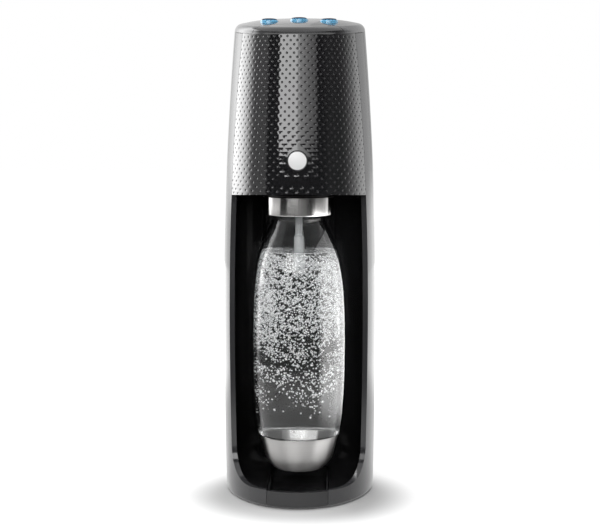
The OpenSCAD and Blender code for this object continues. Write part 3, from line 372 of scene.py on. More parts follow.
frame_plastic = matte("frame_plastic", (0.06, 0.062, 0.068), 0.5)
gear_white = matte("gear_white", (0.72, 0.71, 0.67), 0.42, 1200.0, 0.15)
dress(frame_plastic, "chassis", "gearbox_frame", "button_carrier")
dress(gear_white, "cam", "cam_gear")

# ---- Motor, pins and springs ----
# The turned pins, the lever, the drawn springs and the screws are bright steel. The motor's can
# is drawn sheet steel, and its brass pinion is pressed on the shaft.


def metal(name, colour, roughness=0.25, lines=(60, 60, 900), shine=1.0):
    """Metal with fine drawn or turned lines across one direction."""
    made, tree, bsdf = material(name)
    grain = mottled(tree, 4, 5, tone(colour, 0.9), tone(colour, 1.06), lines)
    cloud = mottled(tree, 40, 3)["Mask"]
    both = maths(tree, "ADD", grain["Mask"], cloud)
    feed(bsdf, {
        "Base Color": grain["Colour"],
        "Roughness": maths(tree, "MULTIPLY_ADD", both, 0.1, roughness - 0.1),
        "Metallic": shine,
        "Normal": soft_edged(tree, grain["Mask"], 0.05 * mm, 0.15),
    })
    return made


bright_steel = metal("bright_steel", (0.6, 0.6, 0.61), 0.3, (300, 300, 60))
steel_sheet = metal("steel_sheet", (0.5, 0.5, 0.51), 0.36, (40, 40, 600))
brass = metal("brass", (0.72, 0.52, 0.25), 0.28)
dress(bright_steel, "base_screws", "cam_shaft", "lever", "lever_pin", "holder_pins")
dress(bright_steel, "valve_pin", "valve_spring", "spring_small", "spring_medium", "spring_large")
dress(steel_sheet, "motor")
dress(brass, "motor_pinion")

# ---- Gas line ----
# A painted drawn cylinder with a brass valve screws up into a cast alloy block. A clear hose runs
# from the block to the holder's hollow pin.


def clear(name, colour, roughness, ior, transmission=1.0, shine=0.5):
    """Clear or milky plastic, and water, by how much light passes through."""
    made, tree, bsdf = material(name)
    feed(bsdf, {
        "Base Color": mottled(tree, 30, 2, tone(colour, 1), tone(colour, 1.02))["Colour"],
        "Roughness": roughness,
        "IOR": ior,
        "Specular IOR Level": shine,
        "Transmission Weight": transmission,
    })
    return made


cylinder_paint = metal("cylinder_paint", (0.36, 0.39, 0.43), 0.42, (30, 30, 30), 0.4)
alloy = metal("alloy", (0.55, 0.56, 0.57), 0.45, (80, 80, 80))
hose_clear = clear("hose_clear", (0.9, 0.92, 0.9), 0.12, 1.45, 0.85)
dress(cylinder_paint, "gas_cylinder")
dress(brass, "cylinder_valve")
dress(alloy, "valve_block")
dress(rubber, "valve_seal")
dress(hose_clear, "gas_hose")

# ---- Control board ----
# A green fibreglass board under the buttons, screwed to their carrier, with pale lanes of copper
# under its solder mask.

board, tree, bsdf = material("board")
spot = node(tree, "ShaderNodeTexCoord").outputs["Object"]
lattice = {"Vector": spot, "Scale": 260.0}
cells = node(tree, "ShaderNodeTexVoronoi", lattice, distance="MANHATTAN").outputs["Distance"]
lanes = between(tree, cells, 0.32, 0.36)
tones = {0: lanes, 6: (0.012, 0.07, 0.03, 1), 7: (0.03, 0.14, 0.06, 1)}
feed(bsdf, {
    "Base Color": node(tree, "ShaderNodeMix", tones, data_type="RGBA").outputs[2],
    "Roughness": 0.35,
    "Normal": soft_edged(tree, lanes, 0.1 * mm, 0.4),
})
dress(board, "control_board")

# ---- Front frame ----
# One grey injection-moulded piece: the two side bands and the front of the base, cut out by the
# bay's mouth. Its outside is part of the housing's one oval form, which draws in towards a
# sloping, crowned top, and the other shells are cut from the same form.

# The form, from the cover's own size.
cover_low, cover_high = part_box("rear_cover")
body_w = cover_high.x - cover_low.x
body_d = 2 * cover_high.y
skin_back = 0.03 * mm
waist_z = 145 * mm
shoulder_z = 395.3 * mm
side_taper = 10.3 * mm
foot_taper = 1.7 * mm
lean_z = 60 * mm
front_lean = 24 * mm
rear_lean = 12 * mm
lean_power = 2.4
plan_power = 2.05
crown_power = 3.4
top_slope = radians(5.1)
top_edge_r = 6.5 * mm
top_crown = 3.55 * mm
rim_z = 1.2 * mm
rim_fillet = 2 * mm
form_sides = 240

# The frame's own wall and cuts, and how far a cutter reaches past the body.
frame_wall = 4 * mm
seam_gap = 0.4 * mm
band_front = 43 * mm
band_tilt = radians(1.2)
band_rear = 20 * mm
head_low = 254.9 * mm
head_tilt = radians(3.5)
bay_fwd = 42 * mm
bay_r = 53.8 * mm
bay_floor = 13 * mm
bay_fillet = 26 * mm
bay_reach = 100 * mm
liner_wall = 1.8 * mm
liner_gap = 0.2 * mm
lip_z = 15 * mm
lip_r = 30 * mm
edge_lip = 1.5 * mm
tray_w = 50.6 * mm
tray_gap = 0.35 * mm
far = 0.4
under = -0.1


def power(v, e):
    """A power that keeps the value's sign."""
    return np.sign(v) * np.abs(v) ** e


def half_w(z):
    """Half the body's width at a height."""
    up = np.clip((z - waist_z) / (shoulder_z - waist_z), 0, None)
    down = np.clip((waist_z - z) / waist_z, 0, None)
    return body_w / 2 - side_taper * up**2 - foot_taper * down**2


def depth(t, z):
    """Half the body's depth at a height, which differs in front and behind."""
    lean = np.clip((z - lean_z) / (shoulder_z - lean_z), 0, None) ** lean_power
    return body_d / 2 - np.where(np.sin(t) < 0, front_lean, rear_lean) * lean


def plan_point(t, z, inset):
    """The body's outline at a height, at an angle t, set in from the skin."""
    x = (half_w(z) - inset) * power(np.cos(t), 2 / plan_power)
    y = (depth(t, z) - inset) * power(np.sin(t), 2 / plan_power)
    return np.stack([x, y], -1)


def shoulder(y):
    """Height of the sloping shoulder."""
    return shoulder_z + y * tan(top_slope)


def ring_at(t, z, inset):
    """One ring of points at heights z."""
    z = np.broadcast_to(z, t.shape)
    return np.concatenate([plan_point(t, z, inset), z[:, None]], 1)


def form_rings(t, inset, low, fillet=False):
    """The form's rings from its foot to the middle of its crown."""
    rings = []
    if fillet:
        for a in np.radians(np.linspace(90, 0, 7)[:-1]):
            z, more = low + rim_fillet * (1 - sin(a)), rim_fillet * (1 - cos(a))
            rings.append(ring_at(t, z, inset + more))
        low = low + rim_fillet
    level = np.full_like(t, shoulder_z)
    tops = shoulder(plan_point(t, level, inset)[:, 1])
    for f in np.linspace(0, 1, 49):
        rings.append(ring_at(t, low + f * (tops - low), inset))
    r = top_edge_r - inset
    for a in np.radians(np.linspace(0, 90, 11)[1:-1]):
        p = plan_point(t, level, inset + r * (1 - cos(a)))
        rings.append(np.column_stack([p, shoulder(p[:, 1]) + r * sin(a)]))
    for q in np.linspace(1, 0.04, 20):
        p = q * plan_point(t, level, inset + r)
        crown = top_crown * (1 - q**crown_power)
        rings.append(np.column_stack([p, shoulder(p[:, 1]) + r + crown]))
    return np.array(rings)


def solid(name, shape):
    """A piece with the faces of a bmesh, which is used up."""
    mesh = bpy.data.meshes.new(name)
    shape.to_mesh(mesh)
    shape.free()
    return placed(name, mesh)


def loft(name, rings):
    """A closed piece skinned over rings of points that all have the same count."""
    m, n = rings.shape[:2]
    faces = [
        (i * n + k, i * n + (k + 1) % n, (i + 1) * n + (k + 1) % n, (i + 1) * n + k)
        for i in range(m - 1)
        for k in range(n)
    ]
    faces += [tuple(range(n - 1, -1, -1)), tuple((m - 1) * n + k for k in range(n))]
    shape = bmesh.new()
    points = [shape.verts.new(p) for p in rings.reshape(-1, 3).tolist()]
    for face in faces:
        shape.faces.new([points[k] for k in face])
    bmesh.ops.recalc_face_normals(shape, faces=shape.faces)
    return solid(name, shape)


def form(name, inset, low, fillet=False):
    """The form as a solid from a height upwards, set in from the skin."""
    turn = np.linspace(0, 2 * pi, form_sides + 1)[:-1]
    return loft(name, form_rings(turn, inset, low, fillet))


def block(low, high):
    """A straight-sided cutter between two corners."""
    x, y = (low[0], high[0]), (low[1], high[1])
    ring = [(x[0], y[0]), (x[1], y[0]), (x[1], y[1]), (x[0], y[1])]
    return loft("cutter", np.array([[(*p, z) for p in ring] for z in (low[2], high[2])], float))


def carve(piece, tool, how="DIFFERENCE"):
    """Cuts the piece by a tool, or keeps what is inside it. The tool is used up."""
    step = piece.modifiers.new("carve", "BOOLEAN")
    step.operation, step.object, step.solver = how, tool, "MANIFOLD"
    cut = piece.evaluated_get(bpy.context.evaluated_depsgraph_get())
    made = bpy.data.meshes.new_from_object(cut)
    piece.modifiers.clear()
    piece.data = made
    bpy.data.objects.remove(tool)
    return piece


def shell(name, wall, low, fillet=False):
    """The form hollowed to a wall, open at its foot."""
    return carve(form(name, skin_back, low, fillet), form("inside", wall, low - mm))


def tilted(angle, place, y_span, z_span):
    """A wide cutter in the side view, turned by an angle about a place."""
    made = block((-far, y_span[0], z_span[0]), (far, y_span[1], z_span[1]))
    c, s = cos(angle), sin(angle)
    for v in made.data.vertices:
        x, y, z = v.co
        v.co = (x, place[0] + y * c - z * s, place[1] + y * s + z * c)
    return made


def below_shoulder(rise):
    """A cutter with everything under the shoulder."""
    return tilted(top_slope, (0, shoulder_z + rise), (-far, far), (-2 * far, 0))


def above_head_low(rise):
    """A cutter with everything over the head's lower edge."""
    return tilted(-head_tilt, (0, head_low + rise), (-far, far), (0, far))


def behind_band(shift):
    """A cutter with everything behind the side bands' leaning front edges."""
    return tilted(-band_tilt, (-band_front, waist_z), (shift, far), (-far, far))


def finish_piece(piece, body, paint, *replaced, angle=30):
    """Smooths the piece's rounded faces, paints it and lets it ride."""
    piece.data.materials.clear()
    piece.data.materials.append(paint)
    for face in piece.data.polygons:
        face.use_smooth = True
    piece.data.set_sharp_from_angle(angle=radians(angle))
    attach(piece, body)
    if replaced:
        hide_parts(*replaced)
    return piece


def gloss_plastic(name, colour, roughness=0.08, coat=0.6, shine=0.5):
    """Polished plastic, a little uneven in tone and gloss, with the faint ripple of a moulding."""
    made, tree, bsdf = material(name)
    ripple = mottled(tree, 55, 1)["Mask"]
    bump = node(tree, "ShaderNodeBump", {"Height": ripple, "Strength": 0.02, "Distance": mm})
    haze = mottled(tree, 30, 4)["Mask"]
    feed(bsdf, {
        "Base Color": mottled(tree, 9, 3, tone(colour, 0.9), tone(colour, 1.1))["Colour"],
        "Roughness": maths(tree, "MULTIPLY_ADD", haze, 0.05, roughness - 0.025),
        "Normal": bump.outputs[0],
        "IOR": 1.5,
        "Specular IOR Level": shine,
        "Coat Weight": coat,
        "Coat Roughness": 0.03,
    })
    return made


def bay_cutter(grow, top):
    """The bay as a solid, grown by a wall: upright sides with a rounded floor."""
    fillet, low, flat = bay_fillet + grow, bay_floor - grow, bay_r - bay_fillet
    rows = [low + fillet * (1 - sin(a)) for a in np.radians(np.linspace(90, 0, 17))] + [top]
    turn = np.linspace(0, pi, 61)
    rings = []
    for z in rows:
        w = flat + sqrt(max(0, fillet**2 - max(0, low + fillet - z) ** 2))
        bend = [(w * cos(a), w * sin(a) - bay_fwd, z) for a in turn]
        rings.append([(w, -bay_fwd - bay_reach, z)] + bend + [(-w, -bay_fwd - bay_reach, z)])
    return loft("cutter", np.array(rings))


def mouth_cutter():
    """The bay's mouth seen from the side: open forward, with a round corner over the lip."""
    ahead = (-cos(band_tilt), sin(band_tilt))
    corner_z = lip_z + lip_r
    corner_y = -band_front + (lip_r - ahead[1] * (corner_z - waist_z)) / ahead[0]
    bend = [
        (corner_y + lip_r * cos(a), corner_z + lip_r * sin(a))
        for a in np.linspace(-band_tilt, -pi / 2, 40)
    ]
    top = (bend[0][0] + far * ahead[1], bend[0][1] - far * ahead[0])
    outline = bend + [(-far, lip_z), (-far, far), top]
    return loft("cutter", np.array([[(x, *p) for p in outline] for x in (-far, far)]))


band_plastic = gloss_plastic("band_plastic", (0.03, 0.03, 0.032), 0.12, 0.3)
front_frame = shell("front_band", frame_wall, rim_z, True)
carve(front_frame, below_shoulder(-seam_gap / 2), "INTERSECT")
ahead_of_seam = block((-far, -far, under), (far, -band_rear - seam_gap / 2, 2 * far))
carve(front_frame, ahead_of_seam, "INTERSECT")
carve(front_frame, mouth_cutter())
slot_w = tray_w / 2 + tray_gap
carve(front_frame, block((-slot_w, -far, -mm), (slot_w, -band_front, 2 * lip_z)))
bay = bay_cutter(liner_wall + liner_gap, head_low + 4 * mm)
carve(front_frame, carve(bay, behind_band(edge_lip), "INTERSECT"))
finish_piece(front_frame, "root", band_plastic, "front_frame")

# ---- Bay liner ----
# The gloss black moulding that lines the bay behind the bottle, with a dished floor. It is pushed
# into the front frame's mouth from behind.

liner_black, tree, bsdf = material("liner_black")
cloud = mottled(tree, 12, 3, (0.004, 0.004, 0.0043, 1), (0.008, 0.008, 0.0085, 1))
feed(bsdf, {
    "Base Color": cloud["Colour"],
    "Roughness": maths(tree, "MULTIPLY_ADD", cloud["Mask"], 0.06, 0.1),
    "Specular IOR Level": 0.3,
})
dress(liner_black, "alcove_liner")

# ---- Rear cover ----
# The back half of the housing in one gloss black moulding, which pulls off for the cylinder. Its
# latch is a tab of the same plastic, held on a spring in a window.

rear_wall = 2.4 * mm
window_y = (40 * mm, 200 * mm)
latch_low, latch_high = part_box("rear_latch")
latch_gap = 0.3 * mm
cover_plastic = gloss_plastic("cover_plastic", (0.006, 0.006, 0.007), 0.07, 0.2)
rear_cover = shell("rear_shell", rear_wall, rim_z, True)
behind_seam = block((-far, -band_rear + seam_gap / 2, under), (far, far, 2 * far))
carve(rear_cover, behind_seam, "INTERSECT")
carve(rear_cover, below_shoulder(-seam_gap / 2), "INTERSECT")
window_low = (latch_low.x - latch_gap, window_y[0], latch_low.z - latch_gap)
window_high = (latch_high.x + latch_gap, window_y[1], latch_high.z + latch_gap)
carve(rear_cover, block(window_low, window_high))
finish_piece(rear_cover, "rear_door", cover_plastic, "rear_cover")
dress(cover_plastic, "rear_latch")

# ---- Top cover ----
# Closes the head behind the panel's lip, with three round holes for the buttons: one grey gloss
# moulding that clips to the shells below it.

shell_wall = 2.6 * mm
top_seam = 50 * mm
button_r = 7.5 * mm
hole_gap = 0.3 * mm
bore_z = (380 * mm, 420 * mm)
top_plastic = gloss_plastic("top_plastic", (0.04, 0.04, 0.043), 0.1)
top_cover = shell("top_shell", shell_wall, shoulder_z - 40 * mm)
behind_lip = block((-far, -top_seam + seam_gap, 0), (far, far, 2 * far))
carve(top_cover, behind_lip, "INTERSECT")
carve(top_cover, below_shoulder(seam_gap / 2))
hole_r = button_r + hole_gap
turn = np.linspace(0, 2 * pi, 65)[:-1]
for size in ("small", "medium", "large"):
    low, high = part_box("cap_" + size)
    centre = (low + high) / 2
    bore = [(hole_r * cos(a) + centre.x, hole_r * sin(a) + centre.y) for a in turn]
    carve(top_cover, loft("cutter", np.array([[(*p, z) for p in bore] for z in bore_z])))
finish_piece(top_cover, "root", top_plastic, "top_cover")

# ---- Head panel ----
# Gloss black moulding over the front of the head, wrapped over the top edge. A lattice of small
# round dimples covers its face: its columns open out downwards, and it stops round the disc.
# A matt black plate closes the head from below.

dimple_r = 1.0 * mm
dimple_deep = 0.32 * mm
row_gap = 3.4 * mm
last_row = 262.6 * mm
rows = 38
columns = 13
bare_rows = (2, 3)
bare_half_w = 17 * mm
skin_t = 0.6 * mm
top_pitch = 5.65 * mm
top_row = 388.4 * mm
pitch_growth = 0.0209
corner_steps = 12
disc_margin = 2.4 * mm
disc_low, disc_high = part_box("panel_disc")
disc_z = (disc_low.z + disc_high.z) / 2
disc_r = (disc_high.x - disc_low.x) / 2
face_top = last_row + (rows - 0.55) * row_gap


def pitch(z):
    """Distance between neighbouring dimples of a row at a height."""
    return top_pitch + (top_row - z) * pitch_growth


def arc_table(levels, sweep):
    """Distance along the panel's face from its middle, for every level and angle."""
    lengths = []
    for z in levels:
        p = plan_point(sweep - pi / 2, np.full_like(sweep, z), skin_back)
        lengths.append(np.concatenate([[0], np.cumsum(np.hypot(*np.diff(p, axis=0).T))]))
    return np.array(lengths)


levels = np.linspace(head_low - 12 * mm, shoulder_z, 64)
sweep = np.linspace(0, 2.1, 500)
lengths = arc_table(levels, sweep)


def on_panel(s, z):
    """The point of the panel's face at a distance s from its middle line."""
    place = np.clip((z - levels[0]) / (levels[1] - levels[0]), 0, len(levels) - 1.001)
    step = place.astype(int)
    angle = np.zeros_like(s)
    for i in np.unique(step):
        here = step == i
        both = [np.interp(np.abs(s[here]), lengths[k], sweep) for k in (i, i + 1)]
        share = place[here] - i
        angle[here] = both[0] * (1 - share) + both[1] * share
    t = np.sign(s) * angle - pi / 2
    return np.column_stack([plan_point(t, z, skin_back), z])


def dimple_lattice():
    """Places along and up the face, how deep each lies, and the faces between them.

    Each row is a line of cells with a dimple in the middle, shifted by half a cell against the
    next. A corner is known by its place in the lattice, so that neighbours share it.
    """
    turn = np.radians(np.arange(corner_steps) * 360 / corner_steps - 135)
    cell_u = [-0.5, -0.25, 0, 0.25, 0.5, 0.5, 0.5, 0.25, 0, -0.25, -0.5, -0.5]
    cell_v = [-0.5, -0.5, -0.5, -0.5, -0.5, 0, 0.5, 0.5, 0.5, 0.5, 0.5, 0]
    rims = [(1.1, 0.0), (1.0, 0.04), (0.72, 0.52), (0.4, 0.86)]
    places, drops, faces, index = [], [], [], {}

    def corner(u, v, s, z, drop):
        key = (round(u, 3), round(v, 3))
        if key not in index:
            index[key] = len(places)
            places.append((s, z))
            drops.append(drop)
        return index[key]

    for row in range(-2, rows):
        middle = last_row + row * row_gap
        for column in range(-columns, columns + 1):
            u0 = column + 0.5 * (row % 2)
            s0 = u0 * pitch(middle)
            outer = []
            for du, dv in zip(cell_u, cell_v):
                z = middle + dv * row_gap
                outer.append(corner(u0 + du, row + dv, (u0 + du) * pitch(z), z, 0.0))
            on_disc = sqrt(s0**2 + (middle - disc_z) ** 2) <= disc_r + disc_margin
            if on_disc or (row in bare_rows and abs(s0) < bare_half_w):
                faces.append(outer)
                continue
            rings = [outer]
            for size, drop in rims:
                ring = []
                for a in turn:
                    across, up = size * cos(a), size * sin(a)
                    s, z = s0 + dimple_r * across, middle + dimple_r * up
                    ring.append(corner(u0 + 0.1 * across, row + 0.1 * up, s, z, drop))
                rings.append(ring)
            for a, b in zip(rings, rings[1:]):
                for n in range(corner_steps):
                    after = (n + 1) % corner_steps
                    faces.append((a[n], a[after], b[after], b[n]))
            tip = corner(u0, row, s0, middle, 1.0)
            last = rings[-1]
            faces += [(a, b, tip) for a, b in zip(last, last[1:] + last[:1])]
    return np.array(places), np.array(drops), faces


def dimpled_skin():
    """The panel's dimpled face, cut to its edges, which are turned inwards."""
    places, drops, faces = dimple_lattice()
    s, z = places.T
    step = 0.2 * mm
    point = on_panel(s, z)
    along, up = on_panel(s + step, z) - point, on_panel(s, z + step) - point
    out = np.cross(along, up)
    out /= np.linalg.norm(out, axis=1)[:, None]
    mesh = bpy.data.meshes.new("lattice")
    mesh.from_pydata((point - out * (drops * dimple_deep)[:, None]).tolist(), [], faces)
    shape = bmesh.new()
    shape.from_mesh(mesh)
    bpy.data.meshes.remove(mesh)
    cuts = [
        ((0, -band_front - seam_gap, waist_z), (0, cos(band_tilt), -sin(band_tilt))),
        ((0, 0, head_low), (0, -sin(head_tilt), -cos(head_tilt))),
        ((0, 0, face_top), (0, 0, 1)),
    ]
    for place, away in cuts:
        every = shape.verts[:] + shape.edges[:] + shape.faces[:]
        bmesh.ops.bisect_plane(shape, geom=every, plane_co=place, plane_no=away, clear_outer=True)
    edge = [e for e in shape.edges if e.is_boundary]
    shape.normal_update()
    turned = bmesh.ops.extrude_edge_only(shape, edges=edge)["geom"]
    for v in [v for v in turned if isinstance(v, bmesh.types.BMVert)]:
        flat = Vector((v.co.x / half_w(v.co.z) ** 2, v.co.y / body_d**2 * 4, 0)).normalized()
        v.co -= flat * 2 * skin_t
    bmesh.ops.recalc_face_normals(shape, faces=shape.faces)
    return solid("dimples", shape)


def joined(name, pieces):
    """Several pieces as one object."""
    shape = bmesh.new()
    for piece in pieces:
        shape.from_mesh(piece.data)
        bpy.data.objects.remove(piece)
    return solid(name, shape)


def panel_wall(name, outer, low, high):
    """The panel's wall between two heights, with its face set in by outer."""
    inside = form("inside", shell_wall, head_low - 5 * mm)
    piece = carve(form(name, outer, head_low - 4 * mm), inside)
    carve(piece, above_head_low(0), "INTERSECT")
    carve(piece, behind_band(-seam_gap))
    carve(piece, block((-far, -far, low), (far, far, high)), "INTERSECT")
    return piece


panel_top = panel_wall("panel_top", skin_back, face_top, 2 * far)
behind_edge = block((-far, -top_seam, shoulder_z - 20 * mm), (far, 0, 2 * far))
carve(panel_top, carve(behind_edge, below_shoulder(0)))
panel_back = panel_wall("panel_wall", skin_t, 0, face_top)
panel_plastic = gloss_plastic("panel_plastic", (0.012, 0.012, 0.013), 0.06, 1.0)
head_panel = joined("head_front", [dimpled_skin(), panel_back, panel_top])
finish_piece(head_panel, "root", panel_plastic, "head_panel", angle=50)
dress(matte_black, "head_underplate")

# ---- Disc ----
# A plain white plastic disc, glued into a shallow seat in the head panel inside a thin black ring that
# is painted shade for the dark groove round it.
# Both are turned square to the panel's sloping face.


def lathe(name, profile, centre=(0, 0), steps=144):
    """A piece turned about an upright axis from a loop of radii and heights."""
    turn = np.linspace(0, 2 * pi, steps + 1)[:-1]
    shape = bmesh.new()
    rings = []
    for r, z in profile:
        ring = [(r * cos(a) + centre[0], r * sin(a) + centre[1], z) for a in turn]
        rings.append([shape.verts.new(p) for p in (ring if r > 0 else ring[:1])])
    for low, high in zip(rings, rings[1:] + rings[:1]):
        for k in range(steps):
            n = (k + 1) % steps
            below, above = [low[i % len(low)] for i in (k, n)], [high[i % len(high)] for i in (n, k)]
            corners = list(dict.fromkeys(below + above))
            if len(corners) > 2:
                shape.faces.new(corners)
    bmesh.ops.recalc_face_normals(shape, faces=shape.faces)
    return solid(name, shape)


def about_face(piece):
    """Turns a lathed piece so that its axis is square to the head panel at the disc."""
    step = 1 * mm
    face_y, above_y = [-float(depth(np.array(-pi / 2), z)) for z in (disc_z, disc_z + step)]
    lean = atan((above_y - face_y) / step)
    for v in piece.data.vertices:
        x, y, z = v.co
        v.co = (x, face_y - z * cos(lean) + y * sin(lean), disc_z + y * cos(lean) + z * sin(lean))
    return piece


disc_edge = disc_r - 0.1 * mm
disc_side = [(0.0, 0.17 * mm), (disc_r - 0.6 * mm, 0.15 * mm), (disc_r - 0.2 * mm, 0.05 * mm),
             (disc_edge, -0.2 * mm), (disc_edge, -1.2 * mm), (0.0, -1.2 * mm)]
disc_plastic = gloss_plastic("disc_plastic", (0.86, 0.86, 0.86), 0.25, 0.0)
disc = about_face(lathe("disc", disc_side, steps=96))
finish_piece(disc, "root", disc_plastic, "panel_disc")
rim_edge = disc_r + 1 * mm
rim_side = [(disc_r, -1.5 * mm), (disc_r, -0.02 * mm), (disc_r + 0.4 * mm, 0.1 * mm),
            (rim_edge, -0.05 * mm), (rim_edge, -1.5 * mm)]
# Painted shade: the ring's black stands for the shade in the groove round the disc.
groove_shade_plastic = gloss_plastic("groove_shade_plastic", (0.01, 0.01, 0.01), 0.4, 0.0)
finish_piece(about_face(lathe("disc_rim", rim_side, steps=96)), "root", groove_shade_plastic)

# ---- Buttons ----
# Three press buttons in a shallow arc: a satin navy cap sits inside a rounded light blue ring,
# both moulded, and they go down together on the cap's stem against a spring.

cap_navy = gloss_plastic("cap_navy", (0.008, 0.014, 0.04), 0.5, 0.0, 0.15)
ring_blue = gloss_plastic("ring_blue", (0.14, 0.42, 0.66), 0.14, 0.5)
sunk = 2.0 * mm
roll_r = 0.65 * mm
stem_r = 2 * mm
ring_bore_r = 2.5 * mm


def rounding(r, z, size, start, end, steps):
    """Points round an edge, between two angles in degrees about its middle."""
    turn = np.radians(np.linspace(start, end, steps))
    return [(r + size * cos(a), z + size * sin(a)) for a in turn]


for size in ("small", "medium", "large"):
    low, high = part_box("cap_" + size)
    ring_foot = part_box("ring_" + size)[0].z
    centre = ((low.x + high.x) / 2, (low.y + high.y) / 2)
    inner, top = button_r - 1.15 * mm, high.z - sunk
    foot = ring_foot + 0.05 * mm
    flange_r, flange_top = button_r + 1.2 * mm, foot + 1.2 * mm
    ring = [(ring_bore_r, foot), (flange_r, foot), (flange_r, flange_top), (button_r, flange_top)]
    ring += rounding(button_r - roll_r, top - 0.9 * mm, roll_r, 0, 180, 13)
    ring += [(inner + 0.05 * mm, foot + 1.45 * mm), (ring_bore_r, foot + 1.45 * mm)]
    cap_foot = foot + 1.5 * mm
    cap = [(0.0, low.z), (stem_r, low.z), (stem_r, cap_foot), (inner, cap_foot)]
    cap += [(inner, top + 0.2 * mm), (inner - 0.12 * mm, top + 0.5 * mm),
            (inner - 0.5 * mm, top + 0.8 * mm), (inner - 1.5 * mm, top + 1.0 * mm),
            (inner * 0.5, top + 1.2 * mm), (0.0, top + 1.3 * mm)]
    body = "button_" + size
    ring_piece = lathe("button_ring_" + size, ring, centre, 96)
    finish_piece(ring_piece, body, ring_blue, "ring_" + size)
    finish_piece(lathe("button_cap_" + size, cap, centre, 96), body, cap_navy, "cap_" + size)

# ---- Bottle holder ----
# The swinging holder: a black sleeve on two pins, faced with a brushed steel collar that hides the
# snap claws, the seal and the gas nozzle. The clear tube hangs from the nozzle into the bottle.


def turned_steel(name, roughness):
    """Steel brushed round the piece, so its reflections draw out upright."""
    made, tree, bsdf = material(name)
    dark, pale = (0.58, 0.57, 0.56, 1), (0.7, 0.69, 0.68, 1)
    grain = mottled(tree, 2, 4, dark, pale, (25, 25, 2500))
    feed(bsdf, {
        "Base Color": grain["Colour"],
        "Roughness": maths(tree, "MULTIPLY_ADD", grain["Mask"], 0.06, roughness),
        "Metallic": 1.0,
        "Anisotropic": 0.9,
        "Anisotropic Rotation": 0.25,
        "Tangent": node(tree, "ShaderNodeTangent", direction_type="RADIAL", axis="Z").outputs[0],
    })
    return made


bottle_low, bottle_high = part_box("bottle")
bottle_y = (bottle_low.y + bottle_high.y) / 2
axis = (0, bottle_y)
collar_low, collar_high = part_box("steel_collar")
collar_r = (collar_high.x - collar_low.x) / 2
low, top = collar_low.z, collar_high.z
skin_r = collar_r - 2.28 * mm
hem_r, hem_t = collar_r - 4.3 * mm, 0.98 * mm
low_edge, top_edge = 0.8 * mm, 0.6 * mm
collar = [(hem_r, low)] + rounding(collar_r - low_edge, low + low_edge, low_edge, -90, 0, 9)
collar += rounding(collar_r - top_edge, top - top_edge, top_edge, 0, 90, 7)
collar += [(skin_r + 1 * mm, top), (skin_r, top - 1 * mm), (skin_r, low + hem_t), (hem_r, low + hem_t)]
brushed_steel = turned_steel("brushed_steel", 0.14)
collar_piece = lathe("collar", collar, axis, 192)
finish_piece(collar_piece, "holder", brushed_steel, "steel_collar", angle=40)
dress(matte_black, "bottle_holder")
dress(frame_plastic, "snap_claws", "nozzle_block")
dress(rubber, "bottle_seal")

tube_low, tube_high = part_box("carbonation_tube")
tube_r, sleeve_r = 3.0 * mm, 4.2 * mm
low, top, sleeve_top = tube_low.z, tube_high.z, tube_low.z + 30 * mm
tube = [(0.0, low), (2.2 * mm, low), (tube_r, low + 0.4 * mm), (4.1 * mm, low + 2.8 * mm),
        (sleeve_r, low + 3.4 * mm), (sleeve_r, sleeve_top - 0.3 * mm),
        (3.9 * mm, sleeve_top + 0.2 * mm), (tube_r, sleeve_top + 1.2 * mm), (tube_r, top), (0.0, top)]
tube_clear = clear("tube_clear", (0.86, 0.89, 0.9), 0.2, 1.45, 0.35)
tube_piece = lathe("tube", tube, axis, 64)
finish_piece(tube_piece, "holder", tube_clear, "carbonation_tube", angle=40)

# ---- Bottle ----
# A clear blown bottle with a long belly and a short neck whose flange snaps into the holder. A
# drawn, brushed steel cup is pressed on its foot, and it holds water full of bubbles.


def curve(keys, steps=4):
    """Points on a smooth curve through keys."""
    keys = np.array(keys, float)
    ends = np.vstack([keys[:1], keys, keys[-1:]])
    points = []
    for i in range(len(keys) - 1):
        a, b, c, d = ends[i : i + 4]
        for t in np.arange(steps) / steps:
            square, cube = 2 * a - 5 * b + 4 * c - d, 3 * b - a - 3 * c + d
            points.append(0.5 * (2 * b + (c - a) * t + square * t**2 + cube * t**3))
    return points + [keys[-1]]


cup_low, cup_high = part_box("bottle_cup")
cup_r = (cup_high.x - cup_low.x) / 2
cup_z, cup_top = cup_low.z, cup_high.z
bottle_r = (bottle_high.x - bottle_low.x) / 2
mouth_z = bottle_high.z
neck_low, neck_r, wall = mouth_z - 28.5 * mm, 19.5 * mm, 1.6 * mm
cup_gap = 1.1 * mm
tuck = cup_r - cup_gap
foot = cup_z + 8 * mm

# How far the side lies inside the widest place, in mm, by its share of the height.
side_keys = [(3.8, 0.008), (1.8, 0.104), (0.4, 0.249), (0, 0.446), (0.7, 0.591), (2.1, 0.684),
             (4.9, 0.772), (9.9, 0.85), (15.4, 0.915), (19.9, 0.972), (20.9, 1)]
side = curve([(bottle_r - x * mm, cup_top + f * (neck_low - cup_top)) for x, f in side_keys], 6)
cup_foot_in = 19.9
cup_keys = [(cup_foot_in, 0), (14.4, 0.03), (10, 0.13), (5.5, 0.33), (3.2, 0.56), (1.6, 0.79),
            (0, 1)]
cup_side = curve([(cup_r - x * mm, cup_z + f * (cup_top - cup_z)) for x, f in cup_keys], 4)
in_cup = [(r, z) for r, z in cup_side if foot + 4 * mm < z < cup_top - 1 * mm]
fitted = [(r - cup_gap, z + 0.4 * mm) for r, z in in_cup]
lower = fitted + [(tuck, cup_top + 0.4 * mm)] + [tuple(p) for p in side]
flange = mouth_z - 11 * mm
lip = [(neck_r, flange), (neck_r + 1.2 * mm, flange + 0.6 * mm),
       (neck_r + 1.5 * mm, flange + 1.2 * mm), (neck_r + 1.4 * mm, flange + 2.4 * mm),
       (neck_r, flange + 3.2 * mm), (neck_r, mouth_z - 0.4 * mm), (neck_r - 0.5 * mm, mouth_z),
       (neck_r - 1.1 * mm, mouth_z), (neck_r - wall, mouth_z - 0.5 * mm)]
